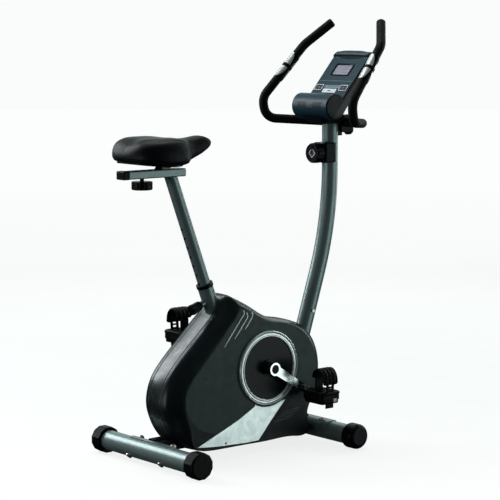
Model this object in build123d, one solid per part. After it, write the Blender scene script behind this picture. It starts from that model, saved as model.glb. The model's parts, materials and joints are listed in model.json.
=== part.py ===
from build123d import *
import math
import os

# Upright exercise bike.  Millimetres, +X towards the handlebar, +Y to the rider's left, +Z up.
# Everything is laid out with the rear stabiliser's axis at X = 0 and is moved along X once, at
# the end, so that the origin is under the middle of the whole machine, on the floor.

# ---------------------------------------------------------------- driving dimensions
STAB_HALF = 250.0            # half the length of each floor stabiliser, over its caps
STAB_R, STAB_WALL = 30.0, 2.0
REAR_Z, FRONT_Z = 39.0, 38.5  # stabiliser axis heights = cap apothem, wheel radius
FRONT_X = 612.0              # front stabiliser axis
CAP_LEN, WHEEL_LEN = 42.0, 46.0

BASE_W, BASE_Z0, BASE_Z1 = 40.0, 36.0, 76.0   # lower frame tube section

SEAT_TOP = (207.5, 512.5)    # top of the seat tube, on its axis (X, Z)
SEAT_LEAN = 20.7             # degrees backwards
SEAT_POST_R, SEAT_TUBE_R, SEAT_TUBE_RI = 19.0, 23.5, 21.0
SEAT_POST_UP = 359.0         # seat post above the seat tube's top
SEAT_POST_IN = 170.0         # seat post below the seat tube's top
SEAT_HOLE_PITCH = 30.0

CRANK = (388.0, 256.0)       # crank axle (X, Z)
CRANK_LEN = 166.0
CRANK_ANGLE = -31.4          # right arm, degrees from forward, in the XZ plane
AXLE_R = 8.5
CASE_HALF = 77.0             # flat side of the case
CASE_WALL = 2.6
RING_RO, RING_RI = 114.0, 96.0
PULLEY_R, SMALL_R = 88.0, 14.0
FLY = (484.0, 180.0)         # flywheel axle (X, Z)
FLY_R = 96.0
BRAKE_PIVOT = (565.2, 248.1)

POST_R, POST_RI = 25.0, 22.5
POST_FOOT = (604.0, 363.0)   # joint between stub and handlebar post
POST_LEAN = 18.0
POST_BEND_R = 1075.0
POST_X = 707.0
POST_TOP = 992.0

BAR_R = 13.0                 # handlebar, over its foam
BAR_X, BAR_Z = 748.0, 986.0

FACE_BOTTOM = (676.0, 1053.0)  # lower edge of the console face (X, Z)
FACE_TILT = 49.0               # degrees above horizontal
FACE_LEN = 175.0
CONSOLE_HALF = 82.0
ROLL = (658.0, 1038.0, 40.0)   # console roll centre X, Z and radius

SLIDE_Z0, SLIDE_Z1 = 849.0, 873.0  # saddle slider bar
SLIDE_X0, SLIDE_X1, SLIDE_HALF = -80.0, 125.0, 19.0

os.makedirs("parts", exist_ok=True)
PARTS = {}


# ---------------------------------------------------------------- helpers
def rod(p0, p1, r):
    a, b = Vector(*p0), Vector(*p1)
    return extrude(Plane(origin=a, z_dir=(b - a).normalized()) * Circle(r), (b - a).length)


def pipe(p0, p1, ro, ri):
    return rod(p0, p1, ro) - rod(p0, p1, ri)


def yrod(x, z, r, y0, y1):
    return rod((x, y0, z), (x, y1, z), r)


def block(x0, x1, y0, y1, z0, z1):
    return Pos((x0 + x1) / 2, (y0 + y1) / 2, (z0 + z1) / 2) * Box(x1 - x0, y1 - y0, z1 - z0)


def xz_face(points, y, spline=False):
    """Closed face in the plane Y = y from (X, Z) points."""
    pts = [(px, y, pz) for px, pz in points]
    if spline:
        return make_face(Spline(*pts, periodic=True))
    return make_face(Polyline(*pts, close=True))


def xz_plate(points, y0, y1, spline=False):
    return extrude(xz_face(points, y0, spline), amount=abs(y1 - y0), dir=(0, 1 if y1 > y0 else -1, 0))


def mirrored(s):
    return mirror(s, about=Plane.XZ)


def soften(s, r, edges=None):
    """Fillet, falling back to smaller radii where the full one does not fit."""
    for k in (1.0, 0.7, 0.45, 0.25):
        try:
            out = fillet(edges if edges is not None else s.edges(), r * k)
            if out.is_valid and abs(out.volume) > 0:
                return out
        except Exception:
            continue
    return s


def add(name, *solids):
    PARTS[name] = solids[0] if len(solids) == 1 else Compound(children=[x for s in solids for x in s.solids()])


def knob(origin, direction, r, length, lobes, stem_r=0.0, stem_len=0.0, depth=2.2):
    """Fluted hand knob: the back face at origin, the knob along direction, a stem behind it."""
    pl = Plane(origin=Vector(*origin), z_dir=Vector(*direction).normalized())
    body = extrude(Plane.XY * Circle(r), length)
    body = fillet(body.edges().group_by(Axis.Z)[-1], min(4.5, length * 0.25))
    body = fillet(body.edges().group_by(Axis.Z)[0], 2.0)
    for i in range(lobes):
        a = 2 * math.pi * i / lobes
        body -= Pos((r + depth * 1.9) * math.cos(a), (r + depth * 1.9) * math.sin(a), -1) * extrude(Circle(depth * 2.9), length + 2)
    if stem_r:
        body += Pos(0, 0, -stem_len) * extrude(Circle(stem_r), stem_len + 1)
    return pl.location * body


# ---------------------------------------------------------------- floor stabilisers
rear_tube_half = STAB_HALF - 14.0
add("rear_stabiliser_tube", yrod(0, REAR_Z, STAB_R, -rear_tube_half, rear_tube_half)
    - yrod(0, REAR_Z, STAB_R - STAB_WALL, -rear_tube_half - 1, rear_tube_half + 1))
add("front_stabiliser_tube", yrod(FRONT_X, FRONT_Z, STAB_R, -rear_tube_half, rear_tube_half)
    - yrod(FRONT_X, FRONT_Z, STAB_R - STAB_WALL, -rear_tube_half - 1, rear_tube_half + 1))


def rear_cap(side):
    # twelve-sided levelling cap that turns round the tube's end
    apothem = REAR_Z
    rr = apothem / math.cos(math.pi / 12)
    pts = [(rr * math.cos(math.radians(15 + 30 * i)), REAR_Z + rr * math.sin(math.radians(15 + 30 * i))) for i in range(12)]
    s = xz_plate(pts, STAB_HALF - CAP_LEN, STAB_HALF)
    outer = [e for e in s.edges() if e.center().Y > STAB_HALF - 0.01]
    s = soften(s, 6.0, outer)
    inner = [e for e in s.edges() if e.center().Y < STAB_HALF - CAP_LEN + 0.01]
    s = soften(s, 2.5, inner)
    s -= yrod(0, REAR_Z, STAB_R + 0.08, STAB_HALF - CAP_LEN - 1, rear_tube_half + 0.4)
    return s if side > 0 else mirrored(s)


def wheel(side):
    # round transport roller over the tube's end
    s = yrod(FRONT_X, FRONT_Z, FRONT_Z, STAB_HALF - WHEEL_LEN, STAB_HALF)
    outer = [e for e in s.edges() if e.center().Y > STAB_HALF - 0.01]
    s = soften(s, 15.0, outer)
    inner = [e for e in s.edges() if e.center().Y < STAB_HALF - WHEEL_LEN + 0.01]
    s = soften(s, 4.0, inner)
    s -= yrod(FRONT_X, FRONT_Z, STAB_R + 0.08, STAB_HALF - WHEEL_LEN - 1, rear_tube_half + 0.4)
    return s if side > 0 else mirrored(s)


add("rear_cap_left", rear_cap(1))
add("rear_cap_right", rear_cap(-1))
add("wheel_left", wheel(1))
add("wheel_right", wheel(-1))


def saddle_plate(cx, cz, a0, a1, half):
    ro, ri = STAB_R + 3.2, STAB_R + 0.05
    outer = [(cx + ro * math.cos(math.radians(a0 + (a1 - a0) * i / 16)), cz + ro * math.sin(math.radians(a0 + (a1 - a0) * i / 16))) for i in range(17)]
    wedge = [(cx + 3 * (x - cx), cz + 3 * (z - cz)) for x, z in outer]
    shell = yrod(cx, cz, ro, -half, half) - yrod(cx, cz, ri, -half - 1, half + 1)
    return shell & xz_plate([(cx, cz)] + wedge, -half, half)


BOLTS = []   # (x axis centre, z axis centre, angle of the nut side, y)
for y in (-78.0, 78.0):
    BOLTS.append((0.0, REAR_Z, 45.0, y))
for y in (-93.0, 93.0):
    BOLTS.append((FRONT_X, FRONT_Z, 122.0, y))

plate_r = saddle_plate(0, REAR_Z, -14, 104, 92)
plate_f = saddle_plate(FRONT_X, FRONT_Z, 62, 180, 125)
bolt_list, nut_list = [], []
for cx, cz, ang, y in BOLTS:
    d = (math.cos(math.radians(ang)), math.sin(math.radians(ang)))
    p = lambda t: (cx + d[0] * t, y, cz + d[1] * t)
    hole = rod(p(-45), p(45), 4.3)
    plate_r, plate_f = plate_r - hole, plate_f - hole
    for n in ("rear_stabiliser_tube", "front_stabiliser_tube"):
        PARTS[n] = PARTS[n] - hole
    head = rod(p(-33.6), p(-29.9), 10.0)
    dome = head.edges().filter_by(lambda e: (e.center() - Vector(*p(-33.6))).length < 0.3)
    head = soften(head, 2.8, dome)
    bolt_list.append(head + rod(p(-30.5), p(40.5), 4.0))
    washer = rod(p(33.4), p(35.0), 9.0) - rod(p(33), p(36), 4.05)
    hexa = extrude(Plane(origin=p(35.1), z_dir=(d[0], 0, d[1])) * RegularPolygon(7.4, 6), 6.5)
    domed = hexa + (Plane(origin=p(41.4), z_dir=(d[0], 0, d[1])).location * Sphere(5.8, arc_size1=0, arc_size2=90))
    domed -= rod(p(34), p(40.9), 4.05)
    nut_list += [washer, domed]
add("saddle_plates", plate_r, plate_f)
add("stabiliser_bolts", *bolt_list)
add("stabiliser_nuts", *nut_list)

# ---------------------------------------------------------------- welded frame inside the case
base = block(8, 604, -BASE_W / 2, BASE_W / 2, BASE_Z0, BASE_Z1)
base = fillet(base.edges().filter_by(Axis.X), 5)
base_in = block(0, 612, -BASE_W / 2 + 2, BASE_W / 2 - 2, BASE_Z0 + 2, BASE_Z1 - 2)
base -= base_in
base -= yrod(0, REAR_Z, STAB_R + 3.3, -60, 60)
base -= yrod(FRONT_X, FRONT_Z, STAB_R + 3.3, -60, 60)
base = max(base.solids(), key=lambda s: s.volume)
add("frame_base_tube", base)

sl = math.radians(SEAT_LEAN)
su = (-math.sin(sl), math.cos(sl))          # up the seat tube
sn = (-math.cos(sl), -math.sin(sl))         # out of its rear, square to it


def seat_at(s, y=0.0, off=0.0):
    return (SEAT_TOP[0] + su[0] * s + sn[0] * off, y, SEAT_TOP[1] + su[1] * s + sn[1] * off)


seat_tube = rod(seat_at(-500), seat_at(0), SEAT_TUBE_R) - rod(seat_at(-520), seat_at(1), SEAT_TUBE_RI)
seat_tube -= block(200, 560, -60, 60, -100, BASE_Z1 + 0.02)
PIN_S = -44.0
boss = rod(seat_at(PIN_S, 0, 21.5), seat_at(PIN_S, 0, 35.0), 10.0) - rod(seat_at(PIN_S, 0, -60), seat_at(PIN_S, 0, 21.4), 40)
seat_tube = seat_tube + (rod(seat_at(PIN_S, 0, 22.2), seat_at(PIN_S, 0, 35.0), 10.0) - rod(seat_at(-120), seat_at(20), SEAT_TUBE_RI + 0.6))
seat_tube -= rod(seat_at(PIN_S, 0, 15), seat_at(PIN_S, 0, 40), 4.08)
add("seat_tube", seat_tube)

bush = rod(seat_at(-62), seat_at(0.1), SEAT_TUBE_RI - 0.05)
collar = rod(seat_at(0.1), seat_at(10.0), SEAT_TUBE_R + 2.2)
top_edge = [e for e in collar.edges() if (e.center() - Vector(*seat_at(10.0))).length < 0.5]
collar = soften(collar, 2.5, top_edge)
bush = bush + collar - rod(seat_at(-70), seat_at(12), SEAT_POST_R + 0.07)
bush -= rod(seat_at(PIN_S, 0, 10), seat_at(PIN_S, 0, 40), 4.6)
add("seat_bushing", bush)

cx, cz = CRANK
housing = yrod(cx, cz, 20.5, -34, 34) + rod((cx, 0, cz), (430, 0, 60), 15.0)
housing -= yrod(cx, cz, 17.5, -40, 40)
housing -= block(360, 500, -40, 40, 0, BASE_Z1 + 0.02)
add("crank_housing", housing)

pl = math.radians(POST_LEAN)
pu = (math.sin(pl), math.cos(pl))


def stub_at(t, y=0.0):
    return (POST_FOOT[0] + pu[0] * t, y, POST_FOOT[1] + pu[1] * t)


fx, fz = FLY
stub = rod(stub_at(-420), stub_at(0), POST_R) + rod(stub_at(-20), stub_at(55), POST_RI - 0.2)
web = xz_plate([(fx - 16, fz + 4), (fx + 4, fz + 16), (548, fz + 40), (536, fz - 40), (fx - 4, fz - 16)], -4, 4)
stub = stub + yrod(fx, fz, 16.5, -26, 26) + web
stub -= rod(stub_at(-430), stub_at(60), POST_RI - 2.4)
stub -= yrod(fx, fz, 13.0, -40, 40)
stub -= block(380, 640, -60, 60, -60, BASE_Z1 + 0.02)
stud = yrod(BRAKE_PIVOT[0], BRAKE_PIVOT[1], 4.0, -62, -21.5)
stub = stub + stud
CABLE_EXIT = ((587.0, 0.0, 311.0), (548.0, -47.0, 292.0))
stub -= rod(CABLE_EXIT[0], CABLE_EXIT[1], 4.5)
add("front_stub", stub)

# ---------------------------------------------------------------- crank, pedals
add("ball_bearings", *[yrod(cx, cz, 17.45, a, b) - yrod(cx, cz, AXLE_R + 0.06, a - 1, b + 1) for a, b in ((-33.5, -22), (22, 33.5))],
    *[yrod(fx, fz, 12.95, a, b) - yrod(fx, fz, 6.06, a - 1, b + 1) for a, b in ((-25.5, -17), (17, 25.5))])

add("crank_axle", yrod(cx, cz, AXLE_R, -108, 108))
ARM_IN, ARM_OUT, BOSS_IN, BOSS_OUT = 98.0, 111.0, 88.0, 113.5


def crank_end(side):
    a = math.radians(CRANK_ANGLE if side < 0 else CRANK_ANGLE + 180)
    return cx + CRANK_LEN * math.cos(a), cz + CRANK_LEN * math.sin(a)


def crank_arm(side):
    ex, ez = crank_end(side)
    ux, uz = (ex - cx) / CRANK_LEN, (ez - cz) / CRANK_LEN
    nx, nz = -uz, ux
    blade = [(cx + nx * 14, cz + nz * 14), (cx - nx * 14, cz - nz * 14), (ex - nx * 11, ez - nz * 11), (ex + nx * 11, ez + nz * 11)]
    s = xz_plate(blade, ARM_IN, ARM_OUT) + yrod(cx, cz, 20.0, BOSS_IN, BOSS_OUT) + yrod(ex, ez, 14.0, ARM_IN - 1.5, ARM_OUT + 0.5)
    rim = [e for e in s.edges() if e.center().Y > ARM_OUT - 0.2 or e.center().Y < ARM_IN + 0.2]
    s = soften(s, 2.2, rim)
    s -= yrod(cx, cz, AXLE_R + 0.03, 80, 120)
    s -= yrod(cx, cz, 14.0, 108.2, 120)
    s -= yrod(ex, ez, 6.03, 80, 120)
    return s if side > 0 else mirrored(s)


add("crank_arm_right", crank_arm(-1))
add("crank_arm_left", crank_arm(1))
caps = []
for side in (1, -1):
    c = yrod(cx, cz, 13.8, 108.4, 115.0)
    c = soften(c, 2.5, [e for e in c.edges() if e.center().Y > 114.9])
    caps.append(c if side > 0 else mirrored(c))
add("crank_caps", *caps)

PED_IN, PED_OUT, PED_HALF_X, PED_HALF_Z = 117.0, 208.0, 39.0, 13.5
spindles = []
for side in (1, -1):
    ex, ez = crank_end(side)
    s = yrod(ex, ez, 6.0, 98, 193) + yrod(ex, ez, 9.0, 111.6, 114.6)
    spindles.append(s if side > 0 else mirrored(s))
add("pedal_spindles", *spindles)
STRAP_Y = [(199.5, -38.0), (199.6, -14.0), (200.0, 6.0), (203.5, 28.0), (205.0, 50.0), (198.0, 70.0), (180.0, 84.0), (158.0, 86.0), (140.0, 75.0), (130.5, 55.0), (127.0, 32.0), (127.0, 4.0)]


def pedal(side):
    ex, ez = crank_end(side)
    s = block(ex - PED_HALF_X, ex + PED_HALF_X, PED_IN, PED_OUT, ez - PED_HALF_Z, ez + PED_HALF_Z)
    s = fillet(s.edges().filter_by(Axis.Z), 12)
    s = soften(s, 3.0, [e for e in s.edges() if abs(abs(e.center().Z - ez) - PED_HALF_Z) < 0.1])
    for sx in (-1, 1):
        for y0, y1 in ((136.0, 160.0), (168.0, 192.0)):
            x0, x1 = sorted((ex + sx * 13.0, ex + sx * 31.0))
            s -= block(x0, x1, y0, y1, ez - 20, ez + 20)
    s -= yrod(ex, ez, 6.08, 100, 193.3)
    s -= yrod(ex, ez, 9.6, 100, 118.5)
    s -= block(ex - 13, ex + 13, 197.0, 202.2, ez - 20, ez + 20)
    s -= block(ex - 13, ex + 13, 124.4, 129.6, ez + 6.9, ez + 20)
    return s if side > 0 else mirrored(s)


def strap_line(points, per=6):
    """Smooth dense line through the points (Catmull-Rom)."""
    out = []
    n = len(points)
    for i in range(n - 1):
        p0, p1, p2, p3 = points[max(0, i - 1)], points[i], points[i + 1], points[min(n - 1, i + 2)]
        for k in range(per):
            t = k / per
            out.append(tuple(0.5 * (2 * p1[c] + (p2[c] - p0[c]) * t + (2 * p0[c] - 5 * p1[c] + 4 * p2[c] - p3[c]) * t * t
                                    + (3 * p1[c] - p0[c] - 3 * p2[c] + p3[c]) * t ** 3) for c in (0, 1)))
    return out + [points[-1]]


def strap_band(line, t_in, t_out, ex, ez, half_w):
    n = len(line)
    inner, outer = [], []
    for i, (y, z) in enumerate(line):
        (ya, za), (yb, zb) = line[max(0, i - 1)], line[min(n - 1, i + 1)]
        L = math.hypot(yb - ya, zb - za)
        ny, nz = -(zb - za) / L, (yb - ya) / L
        inner.append((ex - half_w, y + ny * t_in, ez + z + nz * t_in))
        outer.append((ex - half_w, y - ny * t_out, ez + z - nz * t_out))
    face = make_face(Polyline(*(inner + outer[::-1]), close=True))
    return extrude(face, amount=2 * half_w, dir=(1, 0, 0))


def strap(side):
    ex, ez = crank_end(side)
    line = strap_line(STRAP_Y)
    # the outer leg runs down through a slot and hangs below the pedal, the inner leg ends in a blind slot
    s = strap_band(line, 1.2, 1.2, ex, ez, 11.5)
    s = s + strap_band(line[22:50], 1.0, 2.6, ex, ez, 19.0)      # wider pad over the instep
    s -= block(ex - 30, ex + 30, 118, 136, ez - 20, ez + 7.2)
    for z in (18, 26, 34, 42):   # size holes in the outer leg
        s -= block(ex - 4.5, ex + 4.5, 195, 212, ez + z, ez + z + 3.4)
    return s if side > 0 else mirrored(s)


for side, nm in ((-1, "right"), (1, "left")):
    add("pedal_" + nm, pedal(side))
    st = strap(side)
    print("strap", [round(q.volume) for q in st.solids()])
    add("pedal_strap_" + nm, st)

# ---------------------------------------------------------------- drive
PY0, PY1 = 36.5, 50.5
pulley = yrod(cx, cz, PULLEY_R, PY0, PY1)
for i in range(6):
    a = math.radians(60 * i)
    pulley -= yrod(cx + 52 * math.cos(a), cz + 52 * math.sin(a), 17, 30, 60)
pulley -= yrod(cx, cz, 76, PY1 - 4.0, 60) - yrod(cx, cz, 26, 30, 60)
pulley -= yrod(cx, cz, AXLE_R + 0.02, 30, 60)
add("drive_pulley", pulley)


def belt_plate(r1, r2, y0, y1):
    dx, dz = fx - cx, fz - cz
    d = math.hypot(dx, dz)
    th = math.atan2(dz, dx)
    al = math.acos((r1 - r2) / d)
    pts = []
    for s in (1, -1):
        a = th + s * al
        pts.append(((cx + r1 * math.cos(a), cz + r1 * math.sin(a)), (fx + r2 * math.cos(a), fz + r2 * math.sin(a))))
    quad = [pts[0][0], pts[0][1], pts[1][1], pts[1][0]]
    return yrod(cx, cz, r1, y0, y1) + yrod(fx, fz, r2, y0, y1) + xz_plate(quad, y0, y1)


add("drive_belt", belt_plate(PULLEY_R + 3.2, SMALL_R + 3.2, PY0 + 1, PY1 - 1) - belt_plate(PULLEY_R + 0.3, SMALL_R + 0.3, PY0, PY1))
add("flywheel_axle", yrod(fx, fz, 6.0, -66, 56) + yrod(fx, fz, SMALL_R, PY0 - 1.5, PY1 + 1) + yrod(fx, fz, 9.0, 26.2, 36) + yrod(fx, fz, 9, -32.0, -26.2))
fly = yrod(fx, fz, FLY_R, -57, -32.1)
fly -= yrod(fx, fz, 75, -70, -50) - yrod(fx, fz, 24, -80, -20)
fly -= yrod(fx, fz, 75, -38, -20) - yrod(fx, fz, 24, -80, -20)
for i in range(5):
    a = math.radians(72 * i + 20)
    fly -= yrod(fx + 50 * math.cos(a), fz + 50 * math.sin(a), 13, -70, -20)
fly -= yrod(fx, fz, 6.02, -80, -20)
add("flywheel", fly)


def polar(r, deg):
    return fx + r * math.cos(math.radians(deg)), fz + r * math.sin(math.radians(deg))


arc = [polar(FLY_R + 10, 42.5 + 72.5 * i / 14) for i in range(15)] + [polar(FLY_R + 6.5, 115 - 72.5 * i / 14) for i in range(15)]
bracket = xz_plate(arc, -60, -30) + yrod(BRAKE_PIVOT[0], BRAKE_PIVOT[1], 8.5, -60, -30)
bracket -= yrod(BRAKE_PIVOT[0], BRAKE_PIVOT[1], 4.06, -70, -20)
magnets = []
for a0 in (60, 74, 88, 102):
    q = [polar(FLY_R + 6.4, a0), polar(FLY_R + 6.4, a0 + 10), polar(FLY_R + 2.6, a0 + 10), polar(FLY_R + 2.6, a0)]
    magnets.append(xz_plate(q, -55, -35))
add("magnet_bracket", bracket, *magnets)

# ---------------------------------------------------------------- case
# (X, Z at the middle of the case, X, Z on its flat side, drop of the lip at the rear seam)
CASE = [
    (262, 486, 292, 440, 0), (295, 470, 318, 434, 0), (338, 447, 345, 421, 0), (388, 417, 378, 404, 0),
    (443, 399, 424, 391, 0), (488, 389, 466, 384, -1), (535, 371, 505, 369, -3), (572, 347, 538, 345, -6),
    (597, 315, 562, 312, -9), (611, 280, 577, 275, -10), (616, 244, 585, 240, -10), (613, 205, 584, 200, -9),
    (601, 165, 575, 163, -6), (585, 135, 560, 133, -2), (573, 112, 549, 112, 0), (570, 92, 545, 92, 0),
    (574, 70, 553, 70, 0), (580, 48, 562, 48, 0), (566, 28, 545, 33, 0), (500, 25, 490, 31, 0), (400, 25, 400, 31, 0),
    (300, 25, 300, 31, 0), (210, 25, 215, 31, 0), (150, 28, 150, 33, 0), (110, 41, 118, 40, 2),
    (74, 66, 100, 58, 5), (46, 97, 94, 90, 8), (27, 134, 82, 134, 8), (17, 172, 74, 168, 8),
    (19, 205, 77, 204, 8), (34, 250, 103, 250, 8), (66, 292, 140, 286, 8), (110, 335, 178, 325, 8),
    (156, 376, 214, 364, 8), (198, 414, 244, 398, 8), (226, 440, 262, 416, 8), (244, 470, 276, 433, 4),
]


def smooth_step(t):
    return t * t * (3 - 2 * t)


def outline(kind, y, inset):
    """Case outline at distance y from the middle, moved inwards by inset."""
    pts = []
    for bx, bz, gx, gz, lip in CASE:
        if y <= 36.0:
            g = 0.0
        else:
            th = math.asin(min(1.0, (y - 36.0) / (CASE_HALF - 36.0)) * math.sin(math.radians(62)))
            g = (1 - math.cos(th)) / (1 - math.cos(math.radians(62)))
        x, z = bx + (gx - bx) * g, bz + (gz - bz) * g
        k = max(0.0, 1 - y / 36.0) if lip > 0 else max(0.0, 1 - (y / 36.0) ** 2)
        pts.append([x, z, lip * k * 1.8 if kind else 0.0])
    n = len(pts)
    out = []
    for i in range(n):
        xa, za, _ = pts[i - 1]
        xb, zb, _ = pts[(i + 1) % n]
        L = math.hypot(xb - xa, zb - za)
        # the list runs clockwise seen from the rider's right, so this normal points inwards
        nx, nz = (zb - za) / L, -(xb - xa) / L
        k = inset + pts[i][2]
        out.append((pts[i][0] + nx * k, pts[i][1] + nz * k))
    return out


def case_solid(ys, inset, dy):
    faces = [xz_face(outline(True, max(0.0, y), inset), y if j else dy, True) for j, y in enumerate(ys)]
    return loft(faces)


YS = [0.0, 18.0, 36.0, 48.0, 60.0, 70.0, CASE_HALF]
outer_case = case_solid(YS, 0.0, 0.25)
inner_ys = [0.0, 18.0, 36.0, 47.0, 58.0, 67.0, CASE_HALF - CASE_WALL]


def inner_case():
    faces = []
    for j, y in enumerate(inner_ys):
        src = y * (CASE_HALF / (CASE_HALF - CASE_WALL)) if y > 36 else y
        faces.append(xz_face(outline(True, src, CASE_WALL), y if j else -1.0, True))
    return loft(faces)


shell = outer_case - inner_case()
print("case outer", round(outer_case.volume / 1e3), "shell", round(shell.volume / 1e3, 1), shell.is_valid, len(shell.solids()))
# openings: spine band, seat tube, stub, base tube, axle
SPINE = [(262, 500), (262, 470), (254, 452), (232, 428), (198, 394), (169, 362), (111, 306), (76, 276), (50, 246), (42, 220), (40, 196), (42, 168),
         (52, 134), (70, 104), (96, 78), (150, 52), (150, 10), (90, 10), (-40, 80), (-40, 300), (120, 460), (200, 520)]
shell -= xz_plate(SPINE, -5, 28.3)
shell -= rod(seat_at(-300), seat_at(40), SEAT_TUBE_R + 1.0)
shell -= rod(stub_at(-200), stub_at(120), POST_R + 0.8)
shell -= block(-10, 200, -5, BASE_W / 2 + 1, BASE_Z0 - 1, BASE_Z1 + 1.5)
shell -= block(560, 640, -5, BASE_W / 2 + 1, BASE_Z0 - 1, BASE_Z1 + 1.5)
shell -= yrod(cx, cz, 13.0, 40, 100)
shell = max(shell.solids(), key=lambda s: s.volume)
print("shell final", round(shell.volume / 1e3, 1), shell.is_valid)

# spine cover: the recessed band up the back of the case, round the seat tube
SEAM = [(262, 481), (259, 468), (250, 454), (230, 433), (198, 402), (169, 373), (140, 345), (111, 318), (76, 287), (53, 264), (37, 242), (29, 220), (26, 195), (26, 168), (33, 143), (49, 112), (66, 92), (92, 66), (118, 47), (142, 33)]


def offset_line(points, k):
    out = []
    for i, (x, z) in enumerate(points):
        xa, za = points[max(0, i - 1)]
        xb, zb = points[min(len(points) - 1, i + 1)]
        L = math.hypot(xb - xa, zb - za)
        out.append((x - (zb - za) / L * k, z + (xb - xa) / L * k))
    return out


seam_in = offset_line(SEAM, 2.8)
sp1 = Spline(*[(x, -27.7, z) for x, z in SEAM])
sp2 = Spline(*[(x, -27.7, z) for x, z in seam_in])
spine_face = make_face([sp1, Line(sp1 @ 1, sp2 @ 1), sp2, Line(sp2 @ 0, sp1 @ 0)])
spine = extrude(spine_face, amount=55.4, dir=(0, 1, 0))
spine -= rod(seat_at(-300), seat_at(40), SEAT_TUBE_R + 1.0)
spine -= block(-10, 200, -BASE_W / 2 - 1, BASE_W / 2 + 1, BASE_Z0 - 1, BASE_Z1 + 1.5)
print("spine", [round(s.volume / 1e3, 1) for s in spine.solids()])
spine = max(spine.solids(), key=lambda s: s.volume)
add("spine_cover", spine)

# side trims: pale ring, dark hub disc, pale fin
RING_Y = 84.0
ring = yrod(cx, cz, RING_RO, CASE_HALF + 0.05, RING_Y) - yrod(cx, cz, RING_RI, CASE_HALF - 1, RING_Y + 1)
ring = soften(ring, 3.0, [e for e in ring.edges() if e.center().Y > RING_Y - 0.1])
disc = yrod(cx, cz, RING_RI - 0.3, CASE_HALF + 0.05, CASE_HALF + 3.2) - yrod(cx, cz, 13.0, CASE_HALF - 1, 100)
disc = disc + (yrod(cx, cz, 26.0, CASE_HALF + 3.0, CASE_HALF + 7.5) - yrod(cx, cz, 13.0, CASE_HALF - 1, 100))
FIN = [(112, 47), (208, 85), (270, 110), (334, 143), (338, 150)]
FIN2 = [(457, 150), (399, 91), (350, 37), (300, 36), (190, 40)]
ringside = [(cx + 120 * math.cos(math.radians(a)), cz + 120 * math.sin(math.radians(a))) for a in (-112, -100, -88, -76, -64)]
fin = xz_plate(FIN + ringside + FIN2, CASE_HALF + 0.05, CASE_HALF + 2.6) - yrod(cx, cz, RING_RO + 0.4, 60, 100)
fin = soften(fin, 0.9, [e for e in fin.edges() if e.center().Y > CASE_HALF + 2.5])

# case screws: four through each side into the frame bosses
SCREWS = [(222, 46), (150, 250), (330, 400), (540, 300)]
screws = []
for x, z in SCREWS:
    head = yrod(x, z, 3.4, CASE_HALF - 3.0, CASE_HALF - 0.4) + yrod(x, z, 1.7, CASE_HALF - 14, CASE_HALF - 2.9)
    shell -= yrod(x, z, 3.7, CASE_HALF - 3.2, CASE_HALF + 2)
    fin -= yrod(x, z, 3.7, CASE_HALF - 3.2, CASE_HALF + 4)
    screws += [head, mirrored(head)]
shell = max(shell.solids(), key=lambda s: s.volume)
add("left_shell", shell)
add("right_shell", mirrored(shell))
add("side_rings", ring, mirrored(ring))
add("hub_discs", disc, mirrored(disc))
add("side_fins", fin, mirrored(fin))

# ---------------------------------------------------------------- handlebar post
post_corner = (POST_X, POST_FOOT[1] + (POST_X - POST_FOOT[0]) / math.tan(pl))
post_path = FilletPolyline((POST_FOOT[0], 0, POST_FOOT[1]), (post_corner[0], 0, post_corner[1]), (POST_X, 0, POST_TOP), radius=POST_BEND_R)
post_sec = Plane(origin=(POST_FOOT[0], 0, POST_FOOT[1]), z_dir=(pu[0], 0, pu[1])) * Circle(POST_R)
post_hole = Plane(origin=(POST_FOOT[0], 0, POST_FOOT[1]), z_dir=(pu[0], 0, pu[1])) * Circle(POST_RI)
post = sweep(post_sec, path=post_path) - sweep(post_hole, path=post_path)
s0 = stub_at(41, 0)
post_hole_r = 3.2
post -= rod((s0[0], -40, s0[2]), (s0[0], 40, s0[2]), post_hole_r)
PARTS["front_stub"] -= rod((s0[0], -40, s0[2]), (s0[0], 40, s0[2]), post_hole_r)
for y in (-1, 1):
    b = rod((s0[0], 17 * y, s0[2]), (s0[0], 25.4 * y, s0[2]), 3.1) + rod((s0[0], 25.3 * y, s0[2]), (s0[0], 28.5 * y, s0[2]), 5.2)
    screws.append(b)
# knob shaft hole and cable way through the rear wall of the post
TENSION_Z = 893.0
post -= rod((660, 0, TENSION_Z), (700, 0, TENSION_Z), 5.6)
print("post", round(post.volume / 1e3, 1), post.is_valid)
add("handlebar_post", post)

house = block(660, 712, -29, 29, 862, 925)
house = soften(house, 11, house.edges().filter_by(Axis.Z))
house = soften(house, 5, [e for e in house.edges() if abs(e.center().Z - 862) < 0.1 or abs(e.center().Z - 925) < 0.1])
house -= rod((POST_X, 0, 800), (POST_X, 0, 1000), POST_R + 0.05)
house -= rod((640, 0, TENSION_Z), (690, 0, TENSION_Z), 5.1)
add("tension_housing", house)
tk = knob((657.5, 0, TENSION_Z), (-1, 0, 0), 31.5, 25.5, 10, 5.0, 26.0)
tk += Pos(631.5, 0, TENSION_Z + 14) * Box(2.4, 3.0, 20)
add("tension_knob", tk)

cable_path = FilletPolyline((POST_X, 0, 880), (post_corner[0], 0, post_corner[1]), CABLE_EXIT[0], CABLE_EXIT[1], radius=[POST_BEND_R, 22.0])
cable = sweep(Plane(origin=(POST_X, 0, 880), z_dir=(0, 0, -1)) * Circle(2.4), path=cable_path)
print("cable", round(cable.volume / (math.pi * 2.4 ** 2), 1), round(cable_path.length, 1))
add("tension_cable", cable)

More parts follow.
